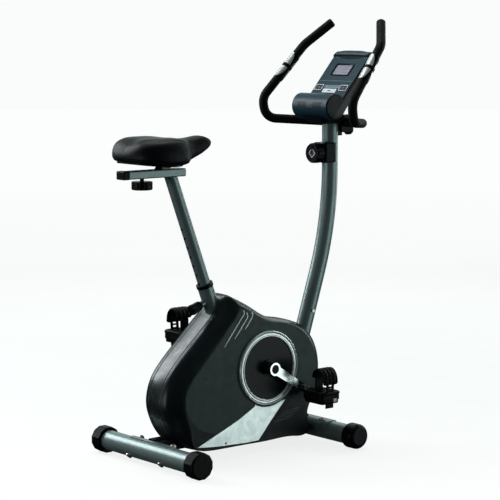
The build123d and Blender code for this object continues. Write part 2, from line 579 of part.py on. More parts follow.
# ---------------------------------------------------------------- handlebar
half = [(BAR_X, 118, BAR_Z), (618, 204, 995), (606, 210, 1058), (741, 180, 1210), (817, 111, 1298)]
radii = [100.0, 46.0, 50.0, 60.0]
full = [(x, -y, z) for x, y, z in reversed(half)] + half
bar_path = FilletPolyline(*full, radius=radii[::-1] + radii)
d0 = (Vector(*full[1]) - Vector(*full[0])).normalized()
bar = sweep(Plane(origin=full[0], z_dir=d0) * Circle(BAR_R), path=bar_path)
print("bar", round(bar.volume / (math.pi * BAR_R ** 2), 1), round(bar_path.length, 1), bar.is_valid)
bar = soften(bar, 4.0, [e for e in bar.edges() if e.center().Z > 1290])
add("handlebar", bar)

g0, g1 = Vector(606, 210, 1058), Vector(741, 180, 1210)
gd = (g1 - g0).normalized()
gc = g0 + gd * 112
plates = []
up = Vector(-0.66, -0.2, 0.72)
up = (up - gd * up.dot(gd)).normalized()
side_v = gd.cross(up)
for sgn in (1, -1):
    pl_ = Plane(origin=gc - gd * 46, x_dir=up, z_dir=gd)
    ring_ = extrude(Plane.XY * (Circle(BAR_R + 1.5) - Circle(BAR_R + 0.05)), 88)
    wedge_ = extrude(Plane.XY * Polygon((0, 0), (40, 3 * sgn), (40, 60 * sgn), (-22, 60 * sgn), align=None), amount=88, dir=(0, 0, 1))
    p_ = ring_ & wedge_
    p_ = pl_.location * p_
    plates += [p_, mirrored(p_)]
add("pulse_sensors", *plates)

clampb = block(731.5, 776, -27, 27, 955, 1010)
clampb = soften(clampb, 8, clampb.edges().filter_by(Axis.Y))
clampb += block(715, 740, -20, 20, 945, 984)
clampb -= rod((POST_X, 0, 900), (POST_X, 0, 1050), POST_R + 0.05)
clampb -= yrod(BAR_X, BAR_Z, BAR_R + 0.08, -60, 60)
clampb -= rod((755, 0, 962), (790, 0, 962), 4.1)
clampb = max(clampb.solids(), key=lambda s: s.volume)
add("handlebar_clamp", clampb)
add("handlebar_knob", knob((776.6, 0, 962), (1, 0, 0), 17.0, 17.0, 5, 4.0, 16.0, 2.0))

# ---------------------------------------------------------------- console
ft = math.radians(FACE_TILT)
fu = (math.cos(ft), math.sin(ft))       # up the face
fn = (math.sin(ft), -math.cos(ft))      # into the console


def face_at(u, depth, y=0.0):
    return (FACE_BOTTOM[0] + fu[0] * u + fn[0] * depth, y, FACE_BOTTOM[1] + fu[1] * u + fn[1] * depth)


def face_box(u0, u1, y0, y1, d0_, d1_):
    pts = [face_at(u0, d0_), face_at(u1, d0_), face_at(u1, d1_), face_at(u0, d1_)]
    return xz_plate([(p_[0], p_[2]) for p_ in pts], y0, y1)


def console_solid(inset, halfw):
    back = [face_at(FACE_LEN + 0, inset), face_at(FACE_LEN + 18, -3 + inset), face_at(FACE_LEN + 27 - 1.5 * inset, 1 + inset), face_at(FACE_LEN + 20 - inset, 9.0),
            face_at(FACE_LEN - 4, 16 - inset), face_at(104, 24 - inset), face_at(34, 32 - inset), face_at(-20, 36 - inset), face_at(-30, 18), face_at(0, inset)]
    s = xz_plate([(p_[0], p_[2]) for p_ in back], -halfw, halfw)
    s = s + yrod(ROLL[0], ROLL[1], ROLL[2] - inset, -halfw, halfw)
    return s


con = console_solid(0.0, CONSOLE_HALF)
ends = [e for e in con.edges() if abs(abs(e.center().Y) - CONSOLE_HALF) < 0.05]
con = soften(con, 6.0, ends)
cav = console_solid(2.6, CONSOLE_HALF - 2.6)
hollow = con - cav
split_front = face_box(-120, 260, -100, 100, -90, 8.95)
split_back = face_box(-120, 260, -100, 100, 9.0, 90)
front = hollow & split_front
back = hollow & split_back
BUTTONS = {"button_left": (42, 66, 38, 74), "button_right": (42, 66, -74, -38), "button_centre": (33, 49, -31, 31)}
front -= face_box(105, 149, -40, 40, -1, 4)
for nm, (u0, u1, y0, y1) in BUTTONS.items():
    front -= face_box(u0, u1, y0, y1, -8, 6)
    b = face_box(u0 + 0.35, u1 - 0.35, y0 + 0.35, y1 - 0.35, -1.6, 4.4)
    b = soften(b, 3.0, b.edges().filter_by(lambda e: abs(e.center().Y - y0 - .35) < 0.1 or abs(e.center().Y - y1 + .35) < 0.1).filter_by(lambda e: abs((e @ 1 - e @ 0).normalized().dot(Vector(fn[0], 0, fn[1]))) > 0.9))
    add(nm, b)
print("console front", [round(s.volume / 1e3, 2) for s in front.solids()], "back", [round(s.volume / 1e3, 2) for s in back.solids()])
front = max(front.solids(), key=lambda s: s.volume)
back = max(back.solids(), key=lambda s: s.volume)
add("console_face", front)
lens = face_box(105.25, 148.75, -39.75, 39.75, 0.3, 2.5)
add("lcd_window", lens)
add("circuit_board", face_box(28, 160, -68, 68, 6.4, 8.0))
post_bore = rod((POST_X, 0, 950), (POST_X, 0, POST_TOP + 0.3), POST_R + 0.05)
coll = loft([Plane.XY.offset(984) * Pos(690, 0) * RectangleRounded(76, 64, 16), Plane.XY.offset(1012) * Pos(675, 0) * RectangleRounded(96, 134, 20)])
coll = coll - con
coll = coll - post_bore
coll = coll - yrod(BAR_X, BAR_Z, BAR_R + 1.0, -100, 100)
coll = coll - block(731.2, 790, -60, 60, 940, 1011)
coll = max(coll.solids(), key=lambda s: s.volume)
back = back - post_bore - yrod(BAR_X, BAR_Z, BAR_R + 1.0, -100, 100)
back = max(back.solids(), key=lambda s: s.volume)
add("console_back", back)
add("console_collar", coll)
for y in (-60, 60):
    p0, p1 = face_at(110, 25, y), face_at(110, 12, y)
    screws.append(rod(face_at(110, 20.6, y), face_at(110, 23.0, y), 2.8) + rod(p1, face_at(110, 20.8, y), 1.5))
hole_b = [rod(face_at(110, 16, y), face_at(110, 30, y), 3.0) for y in (-60, 60)]
for h in hole_b:
    PARTS["console_back"] = PARTS["console_back"] - h
add("cover_screws", *screws)

# ---------------------------------------------------------------- seat
sp = rod(seat_at(-SEAT_POST_IN), seat_at(SEAT_POST_UP + 20), SEAT_POST_R) - rod(seat_at(-SEAT_POST_IN - 1), seat_at(SEAT_POST_UP + 30), SEAT_POST_R - 2.0)
sp -= block(-300, 400, -60, 60, SLIDE_Z0 - 0.02, 1200)
for k in range(-4, 9):
    s_ = PIN_S + SEAT_HOLE_PITCH * k
    if s_ < -SEAT_POST_IN + 12 or s_ > 270:
        continue
    sp -= rod(seat_at(s_, 0, 10), seat_at(s_, 0, 30), 4.6)
add("seat_post", sp)

bar_s = block(SLIDE_X0, SLIDE_X1, -SLIDE_HALF, SLIDE_HALF, SLIDE_Z0, SLIDE_Z1)
bar_s = soften(bar_s, 4.0, bar_s.edges().filter_by(Axis.X))
bar_s = soften(bar_s, 5.0, [e for e in bar_s.edges() if abs(e.center().X - SLIDE_X1) < 0.1])
bar_s -= block(SLIDE_X0 - 1, SLIDE_X1 - 3, -SLIDE_HALF + 2.2, SLIDE_HALF - 2.2, SLIDE_Z0 + 2.2, SLIDE_Z1 - 2.2)
bar_s -= block(-4, 113, -7.5, 7.5, SLIDE_Z1 - 4, SLIDE_Z1 + 4)
bar_s -= block(-70, 26, -7.5, 7.5, SLIDE_Z0 - 4, SLIDE_Z0 + 4)
add("slider_bar", bar_s)
plug = block(SLIDE_X0 - 22, SLIDE_X0 - 0.05, -SLIDE_HALF - 0.6, SLIDE_HALF + 0.6, SLIDE_Z0 - 0.6, SLIDE_Z1 + 0.6)
plug = soften(plug, 3.5)
plug += block(SLIDE_X0 - 2, SLIDE_X0 + 4.5, -SLIDE_HALF + 2.3, SLIDE_HALF - 2.3, SLIDE_Z0 + 2.3, SLIDE_Z1 - 2.3)
add("slider_bar_plug", plug)

car = block(-36, 70, -SLIDE_HALF + 2.5, SLIDE_HALF - 2.5, SLIDE_Z0 + 2.5, SLIDE_Z1 - 2.5)
car += block(38, 68, -7.0, 7.0, SLIDE_Z1 - 3, SLIDE_Z1 + 0.5)
neck = loft([Plane.XY.offset(SLIDE_Z1 + 0.35) * Pos(53, 0) * RectangleRounded(44, 34, 5), Plane.XY.offset(884) * Pos(50, 0) * RectangleRounded(26, 28, 5)])
car += neck
car += rod((72, 0, 878.4), (79.5, 0, 879.4), 3.2)
car -= rod((-24, 0, 840), (-24, 0, 868), 6.06)
add("seat_carriage", car)
add("seat_slider_knob", knob((-24, 0, 840.5), (0, 0, -1), 31.0, 24.5, 10, 6.0, 22.0))

PLAN = [(-94, 0), (-92, 44), (-79, 78), (-50, 103), (-8, 115), (30, 115), (62, 103), (90, 77), (113, 54), (142, 41), (178, 35), (206, 28), (221, 13)]


def plan_face(k, z):
    pts = [(x + (k if x < 0 else -k) * 0.8, max(0.0, y - k)) for x, y in PLAN]
    loop = [(x, y, z) for x, y in pts] + [(x, -y, z) for x, y in reversed(pts) if y > 0.5]
    return make_face(Spline(*loop, periodic=True))


SIDE = [(-104, 903), (-60, 896), (0, 890), (80, 889), (128, 898), (180, 915), (210, 930), (228, 944), (228, 985), (-104, 985)]
TOPL = [(-110, 928), (-96, 948), (-74, 962), (-36, 970), (33, 971), (97, 962), (140, 962), (190, 967), (210, 960), (228, 944), (228, 860), (-110, 860)]
cush = extrude(plan_face(0, 880), amount=100, dir=(0, 0, 1))
cush = cush & xz_plate(SIDE, -140, 140)
top_line = Spline(*[(x, -140, z) for x, z in TOPL[:10]])
top_f = make_face([top_line, Polyline(*[(x, -140, z) for x, z in [TOPL[9], TOPL[10], TOPL[11], TOPL[0]]])])
cush = cush & extrude(top_f, amount=280, dir=(0, 1, 0))
cush = soften(cush, 16.0, [e for e in cush.edges() if e.center().Z > 930 and abs(e.center().Y) > 2 or e.center().Z > 935])
print("cushion", round(cush.volume / 1e3), cush.is_valid, len(cush.solids()))
add("saddle_cushion", cush)
pan = extrude(plan_face(15, 884.05), amount=40, dir=(0, 0, 1)) & xz_plate([(-104, 897.5), (-60, 891.0), (0, 885.6), (80, 884.3), (126, 893.5), (200, 919.5), (208, 928.8), (180, 914.6), (128, 897.6), (80, 888.6), (0, 889.6), (-60, 895.6), (-104, 902.6)], -140, 140)
print("pan", [round(s.volume / 1e3, 1) for s in pan.solids()])
pan = max(pan.solids(), key=lambda s: s.volume)
pan -= neck
add("saddle_pan", pan)

pin = knob(seat_at(PIN_S, 0, 38.0), (sn[0], 0, sn[1]), 16.5, 38.0, 8, 4.0, 18.6, 1.4)
add("seat_pin_knob", pin)

# ---------------------------------------------------------------- place and write
lo = min(PARTS[n].bounding_box().min.X for n in PARTS)
hi = max(PARTS[n].bounding_box().max.X for n in PARTS)
SHIFT = -(lo + hi) / 2
print("shift", round(SHIFT, 3), "bbox", round(lo, 1), round(hi, 1), "z", round(min(p.bounding_box().min.Z for p in PARTS.values()), 3), round(max(p.bounding_box().max.Z for p in PARTS.values()), 2), "y", round(min(p.bounding_box().min.Y for p in PARTS.values()), 2), round(max(p.bounding_box().max.Y for p in PARTS.values()), 2))
for name, shape in PARTS.items():
    export_step(Pos(SHIFT, 0, 0) * shape, "parts/" + name + ".step")
print(len(PARTS), "nodes")
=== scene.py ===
import json
import math

import bmesh
import bpy
import numpy as np
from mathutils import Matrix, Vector


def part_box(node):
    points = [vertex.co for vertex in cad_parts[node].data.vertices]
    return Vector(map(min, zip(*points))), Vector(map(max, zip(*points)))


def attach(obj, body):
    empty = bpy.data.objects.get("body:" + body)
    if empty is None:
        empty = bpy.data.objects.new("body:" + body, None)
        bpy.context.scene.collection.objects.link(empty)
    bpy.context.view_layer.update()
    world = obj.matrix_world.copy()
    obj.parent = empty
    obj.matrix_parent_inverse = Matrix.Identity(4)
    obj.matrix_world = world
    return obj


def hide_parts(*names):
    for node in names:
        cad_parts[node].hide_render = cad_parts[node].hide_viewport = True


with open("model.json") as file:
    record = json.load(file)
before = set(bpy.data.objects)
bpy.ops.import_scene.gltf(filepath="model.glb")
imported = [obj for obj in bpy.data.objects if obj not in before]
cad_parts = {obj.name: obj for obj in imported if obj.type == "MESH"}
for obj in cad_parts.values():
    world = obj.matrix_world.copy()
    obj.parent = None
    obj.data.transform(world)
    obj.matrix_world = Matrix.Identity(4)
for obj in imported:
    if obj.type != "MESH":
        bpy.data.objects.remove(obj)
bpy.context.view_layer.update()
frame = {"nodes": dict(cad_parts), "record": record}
nodes = frame["nodes"]
scene = bpy.context.scene

# ---------------------------------------------------------------- the shared frame
# Dimensions below are in millimetres: X forward from the rear stabiliser's axis, Y to the
# rider's left, Z up from the floor. P() turns them into the row frame in metres.
_lo, _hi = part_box("rear_stabiliser_tube")
X0 = (_lo.x + _hi.x) / 2


def P(x, y, z):
    return Vector((x / 1000 + X0, y / 1000, z / 1000))


def lin(c):
    c = c / 255
    return c / 12.92 if c <= 0.04045 else ((c + 0.055) / 1.055) ** 2.4


def rgb(r, g, b):
    return (lin(r), lin(g), lin(b), 1.0)


def catmull(points, n, closed=False):
    """A smooth line through the points, n steps to a span."""
    pts = [np.array(p, float) for p in points]
    out = []
    m = len(pts)
    spans = m if closed else m - 1
    for i in range(spans):
        if closed:
            a, b, c, d = pts[i - 1], pts[i], pts[(i + 1) % m], pts[(i + 2) % m]
        else:
            b, c = pts[i], pts[i + 1]
            a = pts[i - 1] if i > 0 else 2 * b - c
            d = pts[i + 2] if i + 2 < m else 2 * c - b
        for k in range(n):
            t = k / n
            out.append(0.5 * ((2 * b) + (c - a) * t + (2 * a - 5 * b + 4 * c - d) * t * t
                              + (3 * b - a - 3 * c + d) * t ** 3))
    if not closed:
        out.append(pts[-1])
    return out


# ---------------------------------------------------------------- materials
class Tree:
    """A small helper that lays out a node material."""

    def __init__(self, name):
        self.mat = bpy.data.materials.new(name)
        self.mat.use_nodes = True
        self.t = self.mat.node_tree
        self.t.nodes.clear()
        self.out = self.add("ShaderNodeOutputMaterial")
        self.bsdf = self.add("ShaderNodeBsdfPrincipled")
        self.link(self.bsdf.outputs[0], self.out.inputs["Surface"])
        self.coord = self.add("ShaderNodeTexCoord").outputs["Object"]

    def add(self, kind, **props):
        n = self.t.nodes.new(kind)
        for k, v in props.items():
            setattr(n, k, v)
        return n

    def link(self, a, b):
        self.t.links.new(a, b)

    def noise(self, scale, detail=2.0, rough=0.5, vector=None):
        n = self.add("ShaderNodeTexNoise")
        n.inputs["Scale"].default_value = scale
        n.inputs["Detail"].default_value = detail
        n.inputs["Roughness"].default_value = rough
        self.link(vector or self.coord, n.inputs["Vector"])
        return n.outputs["Fac"]

    def ramp(self, value, lo, hi, a=0.0, b=1.0, smooth=True):
        n = self.add("ShaderNodeMapRange", interpolation_type="SMOOTHSTEP" if smooth else "LINEAR")
        n.inputs["From Min"].default_value = lo
        n.inputs["From Max"].default_value = hi
        n.inputs["To Min"].default_value = a
        n.inputs["To Max"].default_value = b
        self.link(value, n.inputs["Value"])
        return n.outputs["Result"]

    def math(self, op, a, b=None):
        n = self.add("ShaderNodeMath", operation=op)
        for i, v in enumerate((a, b)):
            if v is None:
                continue
            if isinstance(v, (int, float)):
                n.inputs[i].default_value = v
            else:
                self.link(v, n.inputs[i])
        return n.outputs[0]

    def mix(self, fac, a, b):
        n = self.add("ShaderNodeMix", data_type="RGBA")
        self.link(fac, n.inputs["Factor"])
        for sock, v in ((n.inputs[6], a), (n.inputs[7], b)):
            if isinstance(v, tuple):
                sock.default_value = v
            else:
                self.link(v, sock)
        return n.outputs[2]

    def mixf(self, fac, a, b):
        n = self.add("ShaderNodeMix", data_type="FLOAT")
        self.link(fac, n.inputs["Factor"])
        for sock, v in ((n.inputs[2], a), (n.inputs[3], b)):
            if isinstance(v, (int, float)):
                sock.default_value = v
            else:
                self.link(v, sock)
        return n.outputs[0]

    def xyz(self):
        n = self.add("ShaderNodeSeparateXYZ")
        self.link(self.coord, n.inputs[0])
        return n.outputs

    def bump(self, height, mm, strength=1.0, normal=None):
        n = self.add("ShaderNodeBump")
        n.inputs["Distance"].default_value = mm / 1000
        n.inputs["Strength"].default_value = strength
        self.link(height, n.inputs["Height"])
        if normal is not None:
            self.link(normal, n.inputs["Normal"])
        return n.outputs[0]

    def set(self, **values):
        for k, v in values.items():
            s = self.bsdf.inputs[k.replace("_", " ")]
            if hasattr(v, "is_output"):
                self.link(v, s)
            else:
                s.default_value = v


def speckle(name, dark, light, rough, metallic=0.0, specular=0.5, coat=0.0, coat_rough=0.1,
            patch=14, grain=900, grain_mm=0.05, rough_span=0.08, wave=0.0, sheen=0.0, fleck=0.0):
    """Painted metal or moulded plastic: slow colour drift, a fine grain in bump and roughness."""
    t = Tree(name)
    drift = t.noise(patch, 4, 0.6)
    fine = t.noise(grain, 3, 0.55)
    fac = t.ramp(drift, 0.3, 0.7)
    if fleck:
        fac = t.math("ADD", t.math("MULTIPLY", fac, 1 - fleck), t.math("MULTIPLY", t.ramp(fine, 0.45, 0.7), fleck))
    t.set(Base_Color=t.mix(fac, dark, light),
          Roughness=t.ramp(t.noise(patch * 5, 5, 0.65), 0.25, 0.75, max(0.02, rough - rough_span), rough + rough_span),
          Metallic=metallic)
    t.bsdf.inputs["Specular IOR Level"].default_value = specular
    t.bsdf.inputs["Coat Weight"].default_value = coat
    t.bsdf.inputs["Coat Roughness"].default_value = coat_rough
    t.bsdf.inputs["Sheen Weight"].default_value = sheen
    n = t.bump(fine, grain_mm, 0.6)
    if wave:
        n = t.bump(t.noise(22, 2, 0.5), wave, 1.0, n)
    t.link(n, t.bsdf.inputs["Normal"])
    return t.mat


def case_material():
    """Moulded shells: satin rim, matt face, darker towards the foot in front of the fin."""
    t = Tree("case_shells")
    x, y, z = t.xyz()
    side = t.math("ABSOLUTE", y)
    face = t.ramp(side, 0.0763, 0.0768)
    drift = t.ramp(t.noise(9, 4, 0.6), 0.3, 0.7)
    rim_c = t.mix(drift, rgb(19, 26, 29), rgb(26, 34, 37))
    face_c = t.mix(drift, rgb(42, 60, 57), rgb(50, 68, 65))
    # darker to the front and foot of the fin: signed distance to the line along the fin's edge
    ax, az, bx, bz = 350, 37, 457, 150
    L = math.hypot(bx - ax, bz - az)
    nx, nz = (bz - az) / L, -(bx - ax) / L
    c = -((ax / 1000 + X0) * nx + az / 1000 * nz)
    dist = t.math("ADD", t.math("ADD", t.math("MULTIPLY", x, nx), t.math("MULTIPLY", z, nz)), c)
    ahead = t.ramp(dist, -0.001, 0.001)
    low = t.ramp(z, 0.10, 0.27, 1.0, 0.0)
    dark = t.math("MULTIPLY", ahead, low)
    face_c = t.mix(dark, face_c, rgb(4, 5, 6))
    # the foot of the shell below the fin is black too
    foot = t.ramp(z, 0.033, 0.038, 1.0, 0.0)
    face_c = t.mix(foot, face_c, rgb(9, 10, 11))
    # the grey panel ends in a round corner low at the back; below it the face is painted black as painted shade of the
    # lower wall
    px = t.ramp(x, 0.0729 + X0, 0.1925 + X0, 1.0, 0.0, smooth=False)
    pz = t.ramp(z, 0.0812, 0.195, 1.0, 0.0, smooth=False)
    out = t.math("ADD", t.math("MULTIPLY", px, px), t.math("MULTIPLY", pz, pz))
    painted_shade_corner = t.ramp(out, 0.985, 1.0)
    face_c = t.mix(painted_shade_corner, face_c, rgb(2, 3, 4))
    fine = t.noise(1300, 3, 0.6)
    t.set(Base_Color=t.mix(face, rim_c, face_c),
          Roughness=t.mixf(face, t.ramp(t.noise(30, 4), 0.3, 0.7, 0.27, 0.34), t.ramp(t.noise(40, 4), 0.3, 0.7, 0.50, 0.60)),
          Metallic=t.mixf(face, 0.40, 0.0))
    t.bsdf.inputs["Specular IOR Level"].default_value = 0.30
    t.bsdf.inputs["Coat Weight"].default_value = 0.04
    t.bsdf.inputs["Coat Roughness"].default_value = 0.28
    t.link(t.bump(fine, 0.03, 0.5), t.bsdf.inputs["Normal"])
    return t.mat


def vinyl_material():
    """Leather-grained vinyl: cells with soft folds between them."""
    t = Tree("saddle_vinyl_grain")
    v = t.add("ShaderNodeTexVoronoi", feature="DISTANCE_TO_EDGE")
    v.inputs["Scale"].default_value = 620
    warp = t.add("ShaderNodeMix", data_type="VECTOR")
    warp.inputs["Factor"].default_value = 0.0016
    nz = t.add("ShaderNodeTexNoise")
    nz.inputs["Scale"].default_value = 120
    t.link(t.coord, nz.inputs["Vector"])
    t.link(t.coord, warp.inputs[4])
    t.link(nz.outputs["Color"], warp.inputs[5])
    t.link(warp.outputs[1], v.inputs["Vector"])
    cells = t.ramp(v.outputs["Distance"], 0.0, 0.16)
    drift = t.ramp(t.noise(18, 4, 0.6), 0.3, 0.7)
    top = t.mix(drift, rgb(4, 9, 13), rgb(6, 13, 18))
    t.set(Base_Color=t.mix(cells, rgb(4, 5, 7), top),
          Roughness=t.ramp(t.noise(60, 5), 0.3, 0.7, 0.44, 0.52))
    t.bsdf.inputs["Specular IOR Level"].default_value = 0.14
    n = t.bump(cells, 0.05, 0.5)
    n = t.bump(t.noise(26, 2), 0.15, 0.3, n)
    t.link(n, t.bsdf.inputs["Normal"])
    return t.mat


def foam_material():
    """Closed-cell foam grip: open pores, dull."""
    t = Tree("foam_grip")
    v = t.add("ShaderNodeTexVoronoi", feature="F1")
    v.inputs["Scale"].default_value = 950
    t.link(t.coord, v.inputs["Vector"])
    pore = t.ramp(v.outputs["Distance"], 0.1, 0.55)
    drift = t.ramp(t.noise(25, 4), 0.3, 0.7)
    t.set(Base_Color=t.mix(pore, rgb(3, 3, 4), t.mix(drift, rgb(5, 6, 8), rgb(9, 10, 12))),
          Roughness=t.ramp(t.noise(80, 4), 0.3, 0.7, 0.62, 0.78))
    t.bsdf.inputs["Specular IOR Level"].default_value = 0.14
    t.link(t.bump(pore, 0.08, 0.6), t.bsdf.inputs["Normal"])
    return t.mat


def brushed(name, dark, light, rough, axis, metallic=1.0, mm=0.03):
    """Metal with fine lines along one axis (0 X, 1 Y, 2 Z)."""
    t = Tree(name)
    m = t.add("ShaderNodeMapping")
    s = [260.0, 260.0, 260.0]
    s[axis] = 9.0
    m.inputs["Scale"].default_value = s
    t.link(t.coord, m.inputs["Vector"])
    lines = t.noise(5, 6, 0.7, m.outputs[0])
    t.set(Base_Color=t.mix(t.ramp(lines, 0.3, 0.7), dark, light), Metallic=metallic,
          Roughness=t.ramp(lines, 0.25, 0.75, rough - 0.05, rough + 0.07))
    t.link(t.bump(lines, mm, 0.5), t.bsdf.inputs["Normal"])
    return t.mat


def slate_material():
    """Console moulding: slate face, darker on its two ends."""
    t = Tree("console_slate_plastic")
    x, y, z = t.xyz()
    end = t.ramp(t.math("ABSOLUTE", y), 0.0775, 0.0805)
    drift = t.ramp(t.noise(11, 4, 0.6), 0.3, 0.7)
    t.set(Base_Color=t.mix(end, t.mix(drift, rgb(20, 50, 62), rgb(26, 57, 70)), rgb(3, 4, 5)),
          Roughness=t.ramp(t.noise(50, 5, 0.65), 0.25, 0.75, 0.36, 0.46))
    t.bsdf.inputs["Specular IOR Level"].default_value = 0.20
    t.bsdf.inputs["Coat Weight"].default_value = 0.02
    t.bsdf.inputs["Coat Roughness"].default_value = 0.25
    t.link(t.bump(t.noise(1300, 3, 0.55), 0.03, 0.6), t.bsdf.inputs["Normal"])
    return t.mat


def lcd_material():
    """The unlit display: a lilac-grey field with faint empty cells."""
    t = Tree("lcd_cells")
    x, y, z = t.xyz()
    up = t.math("ADD", t.math("MULTIPLY", x, 0.6561), t.math("MULTIPLY", z, 0.7547))

    def bars(v, period, width):
        f = t.math("FRACT", t.math("DIVIDE", v, period))
        return t.ramp(f, width, width + 0.06, 1.0, 0.0)

    lines = t.math("MAXIMUM", bars(y, 0.0110, 0.12), bars(up, 0.0124, 0.10))
    drift = t.ramp(t.noise(60, 3), 0.3, 0.7)
    t.set(Base_Color=t.mix(lines, t.mix(drift, rgb(154, 152, 166), rgb(172, 170, 184)), rgb(122, 122, 138)),
          Roughness=t.ramp(t.noise(200, 3), 0.3, 0.7, 0.16, 0.22))
    t.link(t.bump(lines, 0.02, 0.4), t.bsdf.inputs["Normal"])
    t.bsdf.inputs["Coat Weight"].default_value = 0.6
    t.bsdf.inputs["Coat Roughness"].default_value = 0.05
    return t.mat


M = {
    "case": case_material(),
    "spine": speckle("case_spine", rgb(25, 33, 36), rgb(32, 41, 44), 0.33, metallic=0.45, coat=0.2, coat_rough=0.25, patch=9, grain=1300, grain_mm=0.02),
    "silver": speckle("trim_silver_paint", rgb(226, 231, 230), rgb(234, 239, 237), 0.36, metallic=0.8, coat=0.3, coat_rough=0.15, grain=1500, grain_mm=0.012, fleck=0.3),
    "hub": speckle("hub_gloss_black", rgb(4, 9, 8), rgb(6, 12, 11), 0.34, rough_span=0.015, coat=0.04, coat_rough=0.12, patch=12, grain=1200, grain_mm=0.01, specular=0.12),
    "tube": speckle("tube_paint", rgb(112, 128, 128), rgb(120, 136, 135), 0.38, metallic=0.50, rough_span=0.03, coat=0.15, coat_rough=0.18, patch=10, grain=1600, grain_mm=0.006, fleck=0.15),
    "frame_black": speckle("frame_paint_black", rgb(8, 10, 11), rgb(14, 16, 18), 0.42, metallic=0.1, grain=1100, grain_mm=0.03, specular=0.14),
    "chrome": speckle("crank_chrome_plate", rgb(214, 218, 218), rgb(228, 231, 231), 0.17, metallic=1.0, patch=8, grain=300, grain_mm=0.004, rough_span=0.03, wave=0.01),
    "plastic": speckle("moulded_black", rgb(2, 3, 4), rgb(4, 6, 8), 0.38, patch=20, grain=1000, grain_mm=0.04, specular=0.1),
    "plastic_soft": speckle("moulded_black_matt", rgb(2, 3, 3), rgb(4, 5, 6), 0.45, patch=20, grain=1000, grain_mm=0.05, specular=0.09),
    "rubber": speckle("strap_rubber", rgb(2, 3, 3), rgb(5, 6, 6), 0.50, grain=800, grain_mm=0.05, specular=0.08),
    "foam": foam_material(),
    "vinyl": vinyl_material(),
    "sensor": brushed("sensor_plate", rgb(206, 210, 207), rgb(224, 227, 224), 0.34, 1, metallic=0.55, mm=0.004),
    "zinc": brushed("zinc_plate", rgb(158, 152, 140), rgb(188, 182, 170), 0.26, 2, mm=0.01),
    "iron": brushed("machined_iron", rgb(60, 62, 64), rgb(84, 86, 88), 0.36, 1, mm=0.01),
    "pulley": speckle("pulley_nylon", rgb(12, 13, 14), rgb(20, 22, 23), 0.45),
    "slate": slate_material(),
    "slate_dark": speckle("console_slate_dark", rgb(12, 18, 23), rgb(17, 25, 31), 0.36, coat=0.1, coat_rough=0.25, patch=11, grain=1300, grain_mm=0.03, specular=0.25),
    "button": speckle("button_rubber", rgb(20, 27, 34), rgb(26, 34, 42), 0.45, grain=900, grain_mm=0.03, specular=0.3),
    "pale": speckle("pale_print", rgb(212, 222, 228), rgb(224, 232, 237), 0.45, patch=60, grain=900, grain_mm=0.01),
    "pale_blue": speckle("pale_blue_print", rgb(92, 116, 128), rgb(106, 130, 141), 0.42, patch=50, grain=900, grain_mm=0.01),
    "stripe": speckle("stripe_print", rgb(244, 248, 247), rgb(250, 252, 252), 0.34, patch=60, grain=900, grain_mm=0.01),
    "lens": speckle("lcd_black_glass", rgb(4, 5, 7), rgb(8, 10, 12), 0.10, coat=0.4, coat_rough=0.05, grain=300, grain_mm=0.002, rough_span=0.02, specular=0.4),
    "lcd": lcd_material(),
    "board": speckle("board_green_mask", rgb(16, 62, 38), rgb(26, 84, 52), 0.35, patch=60, grain=600),
    "cable": speckle("cable_sheath", rgb(8, 8, 9), rgb(14, 14, 15), 0.45),
    "gap": speckle("shadow_gap_black", rgb(2, 3, 3), rgb(5, 6, 6), 0.65, specular=0.2),
    "vent": speckle("vent_ridge", rgb(44, 60, 58), rgb(54, 70, 68), 0.36, grain=900, grain_mm=0.01),
    "reflector": speckle("reflector_prism", rgb(196, 150, 156), rgb(216, 180, 184), 0.16, coat=0.6, coat_rough=0.05, patch=180, grain=700, grain_mm=0.06),
}

# screws: black oxide in the case, bright on the post
_t = Tree("screw_heads")
_x, _y, _z = _t.xyz()
_f = _t.ramp(_x, 0.19, 0.20)
_t.set(Base_Color=_t.mix(_f, _t.mix(_t.noise(90, 3), rgb(24, 27, 28), rgb(40, 44, 45)), _t.mix(_t.noise(90, 3), rgb(170, 166, 156), rgb(196, 192, 184))),
       Roughness=_t.ramp(_t.noise(220, 3), 0.3, 0.7, 0.26, 0.4), Metallic=0.9)
_t.link(_t.bump(_t.noise(700, 2), 0.01, 0.5), _t.bsdf.inputs["Normal"])
M["screws"] = _t.mat

BY_SLOT = {
    "case_grey": "case", "trim_silver": "silver", "hub_black": "hub", "tube_grey": "tube", "frame_black": "frame_black",
    "crank_chrome": "chrome", "black_plastic": "plastic", "strap_black": "rubber", "foam_black": "foam",
    "saddle_vinyl": "vinyl", "sensor_steel": "sensor", "zinc_steel": "zinc", "cast_iron": "iron", "pulley_black": "pulley",
    "console_slate": "slate", "button_grey": "button", "lcd_lens": "lens", "board_green": "board", "cable_black": "cable",
}
SLOT_OF = {}
for entry in frame["record"]["materials"]:
    for n in entry.get("nodes", []):
        SLOT_OF[n] = entry["slot"]
SPECIAL = {"cover_screws": "screws", "spine_cover": "spine", "console_back": "slate_dark", "console_collar": "slate_dark", "button_centre": "pale",
           "tension_housing": "plastic", "pedal_right": "plastic_soft", "pedal_left": "plastic_soft"}
for name, obj in nodes.items():
    key = SPECIAL.get(name) or BY_SLOT.get(SLOT_OF.get(name) or (obj.material_slots[0].material.name.split(".")[0] if obj.material_slots else ""), "plastic")
    for s in obj.material_slots:
        s.material = M[key]
    if not obj.material_slots:
        obj.data.materials.append(M[key])


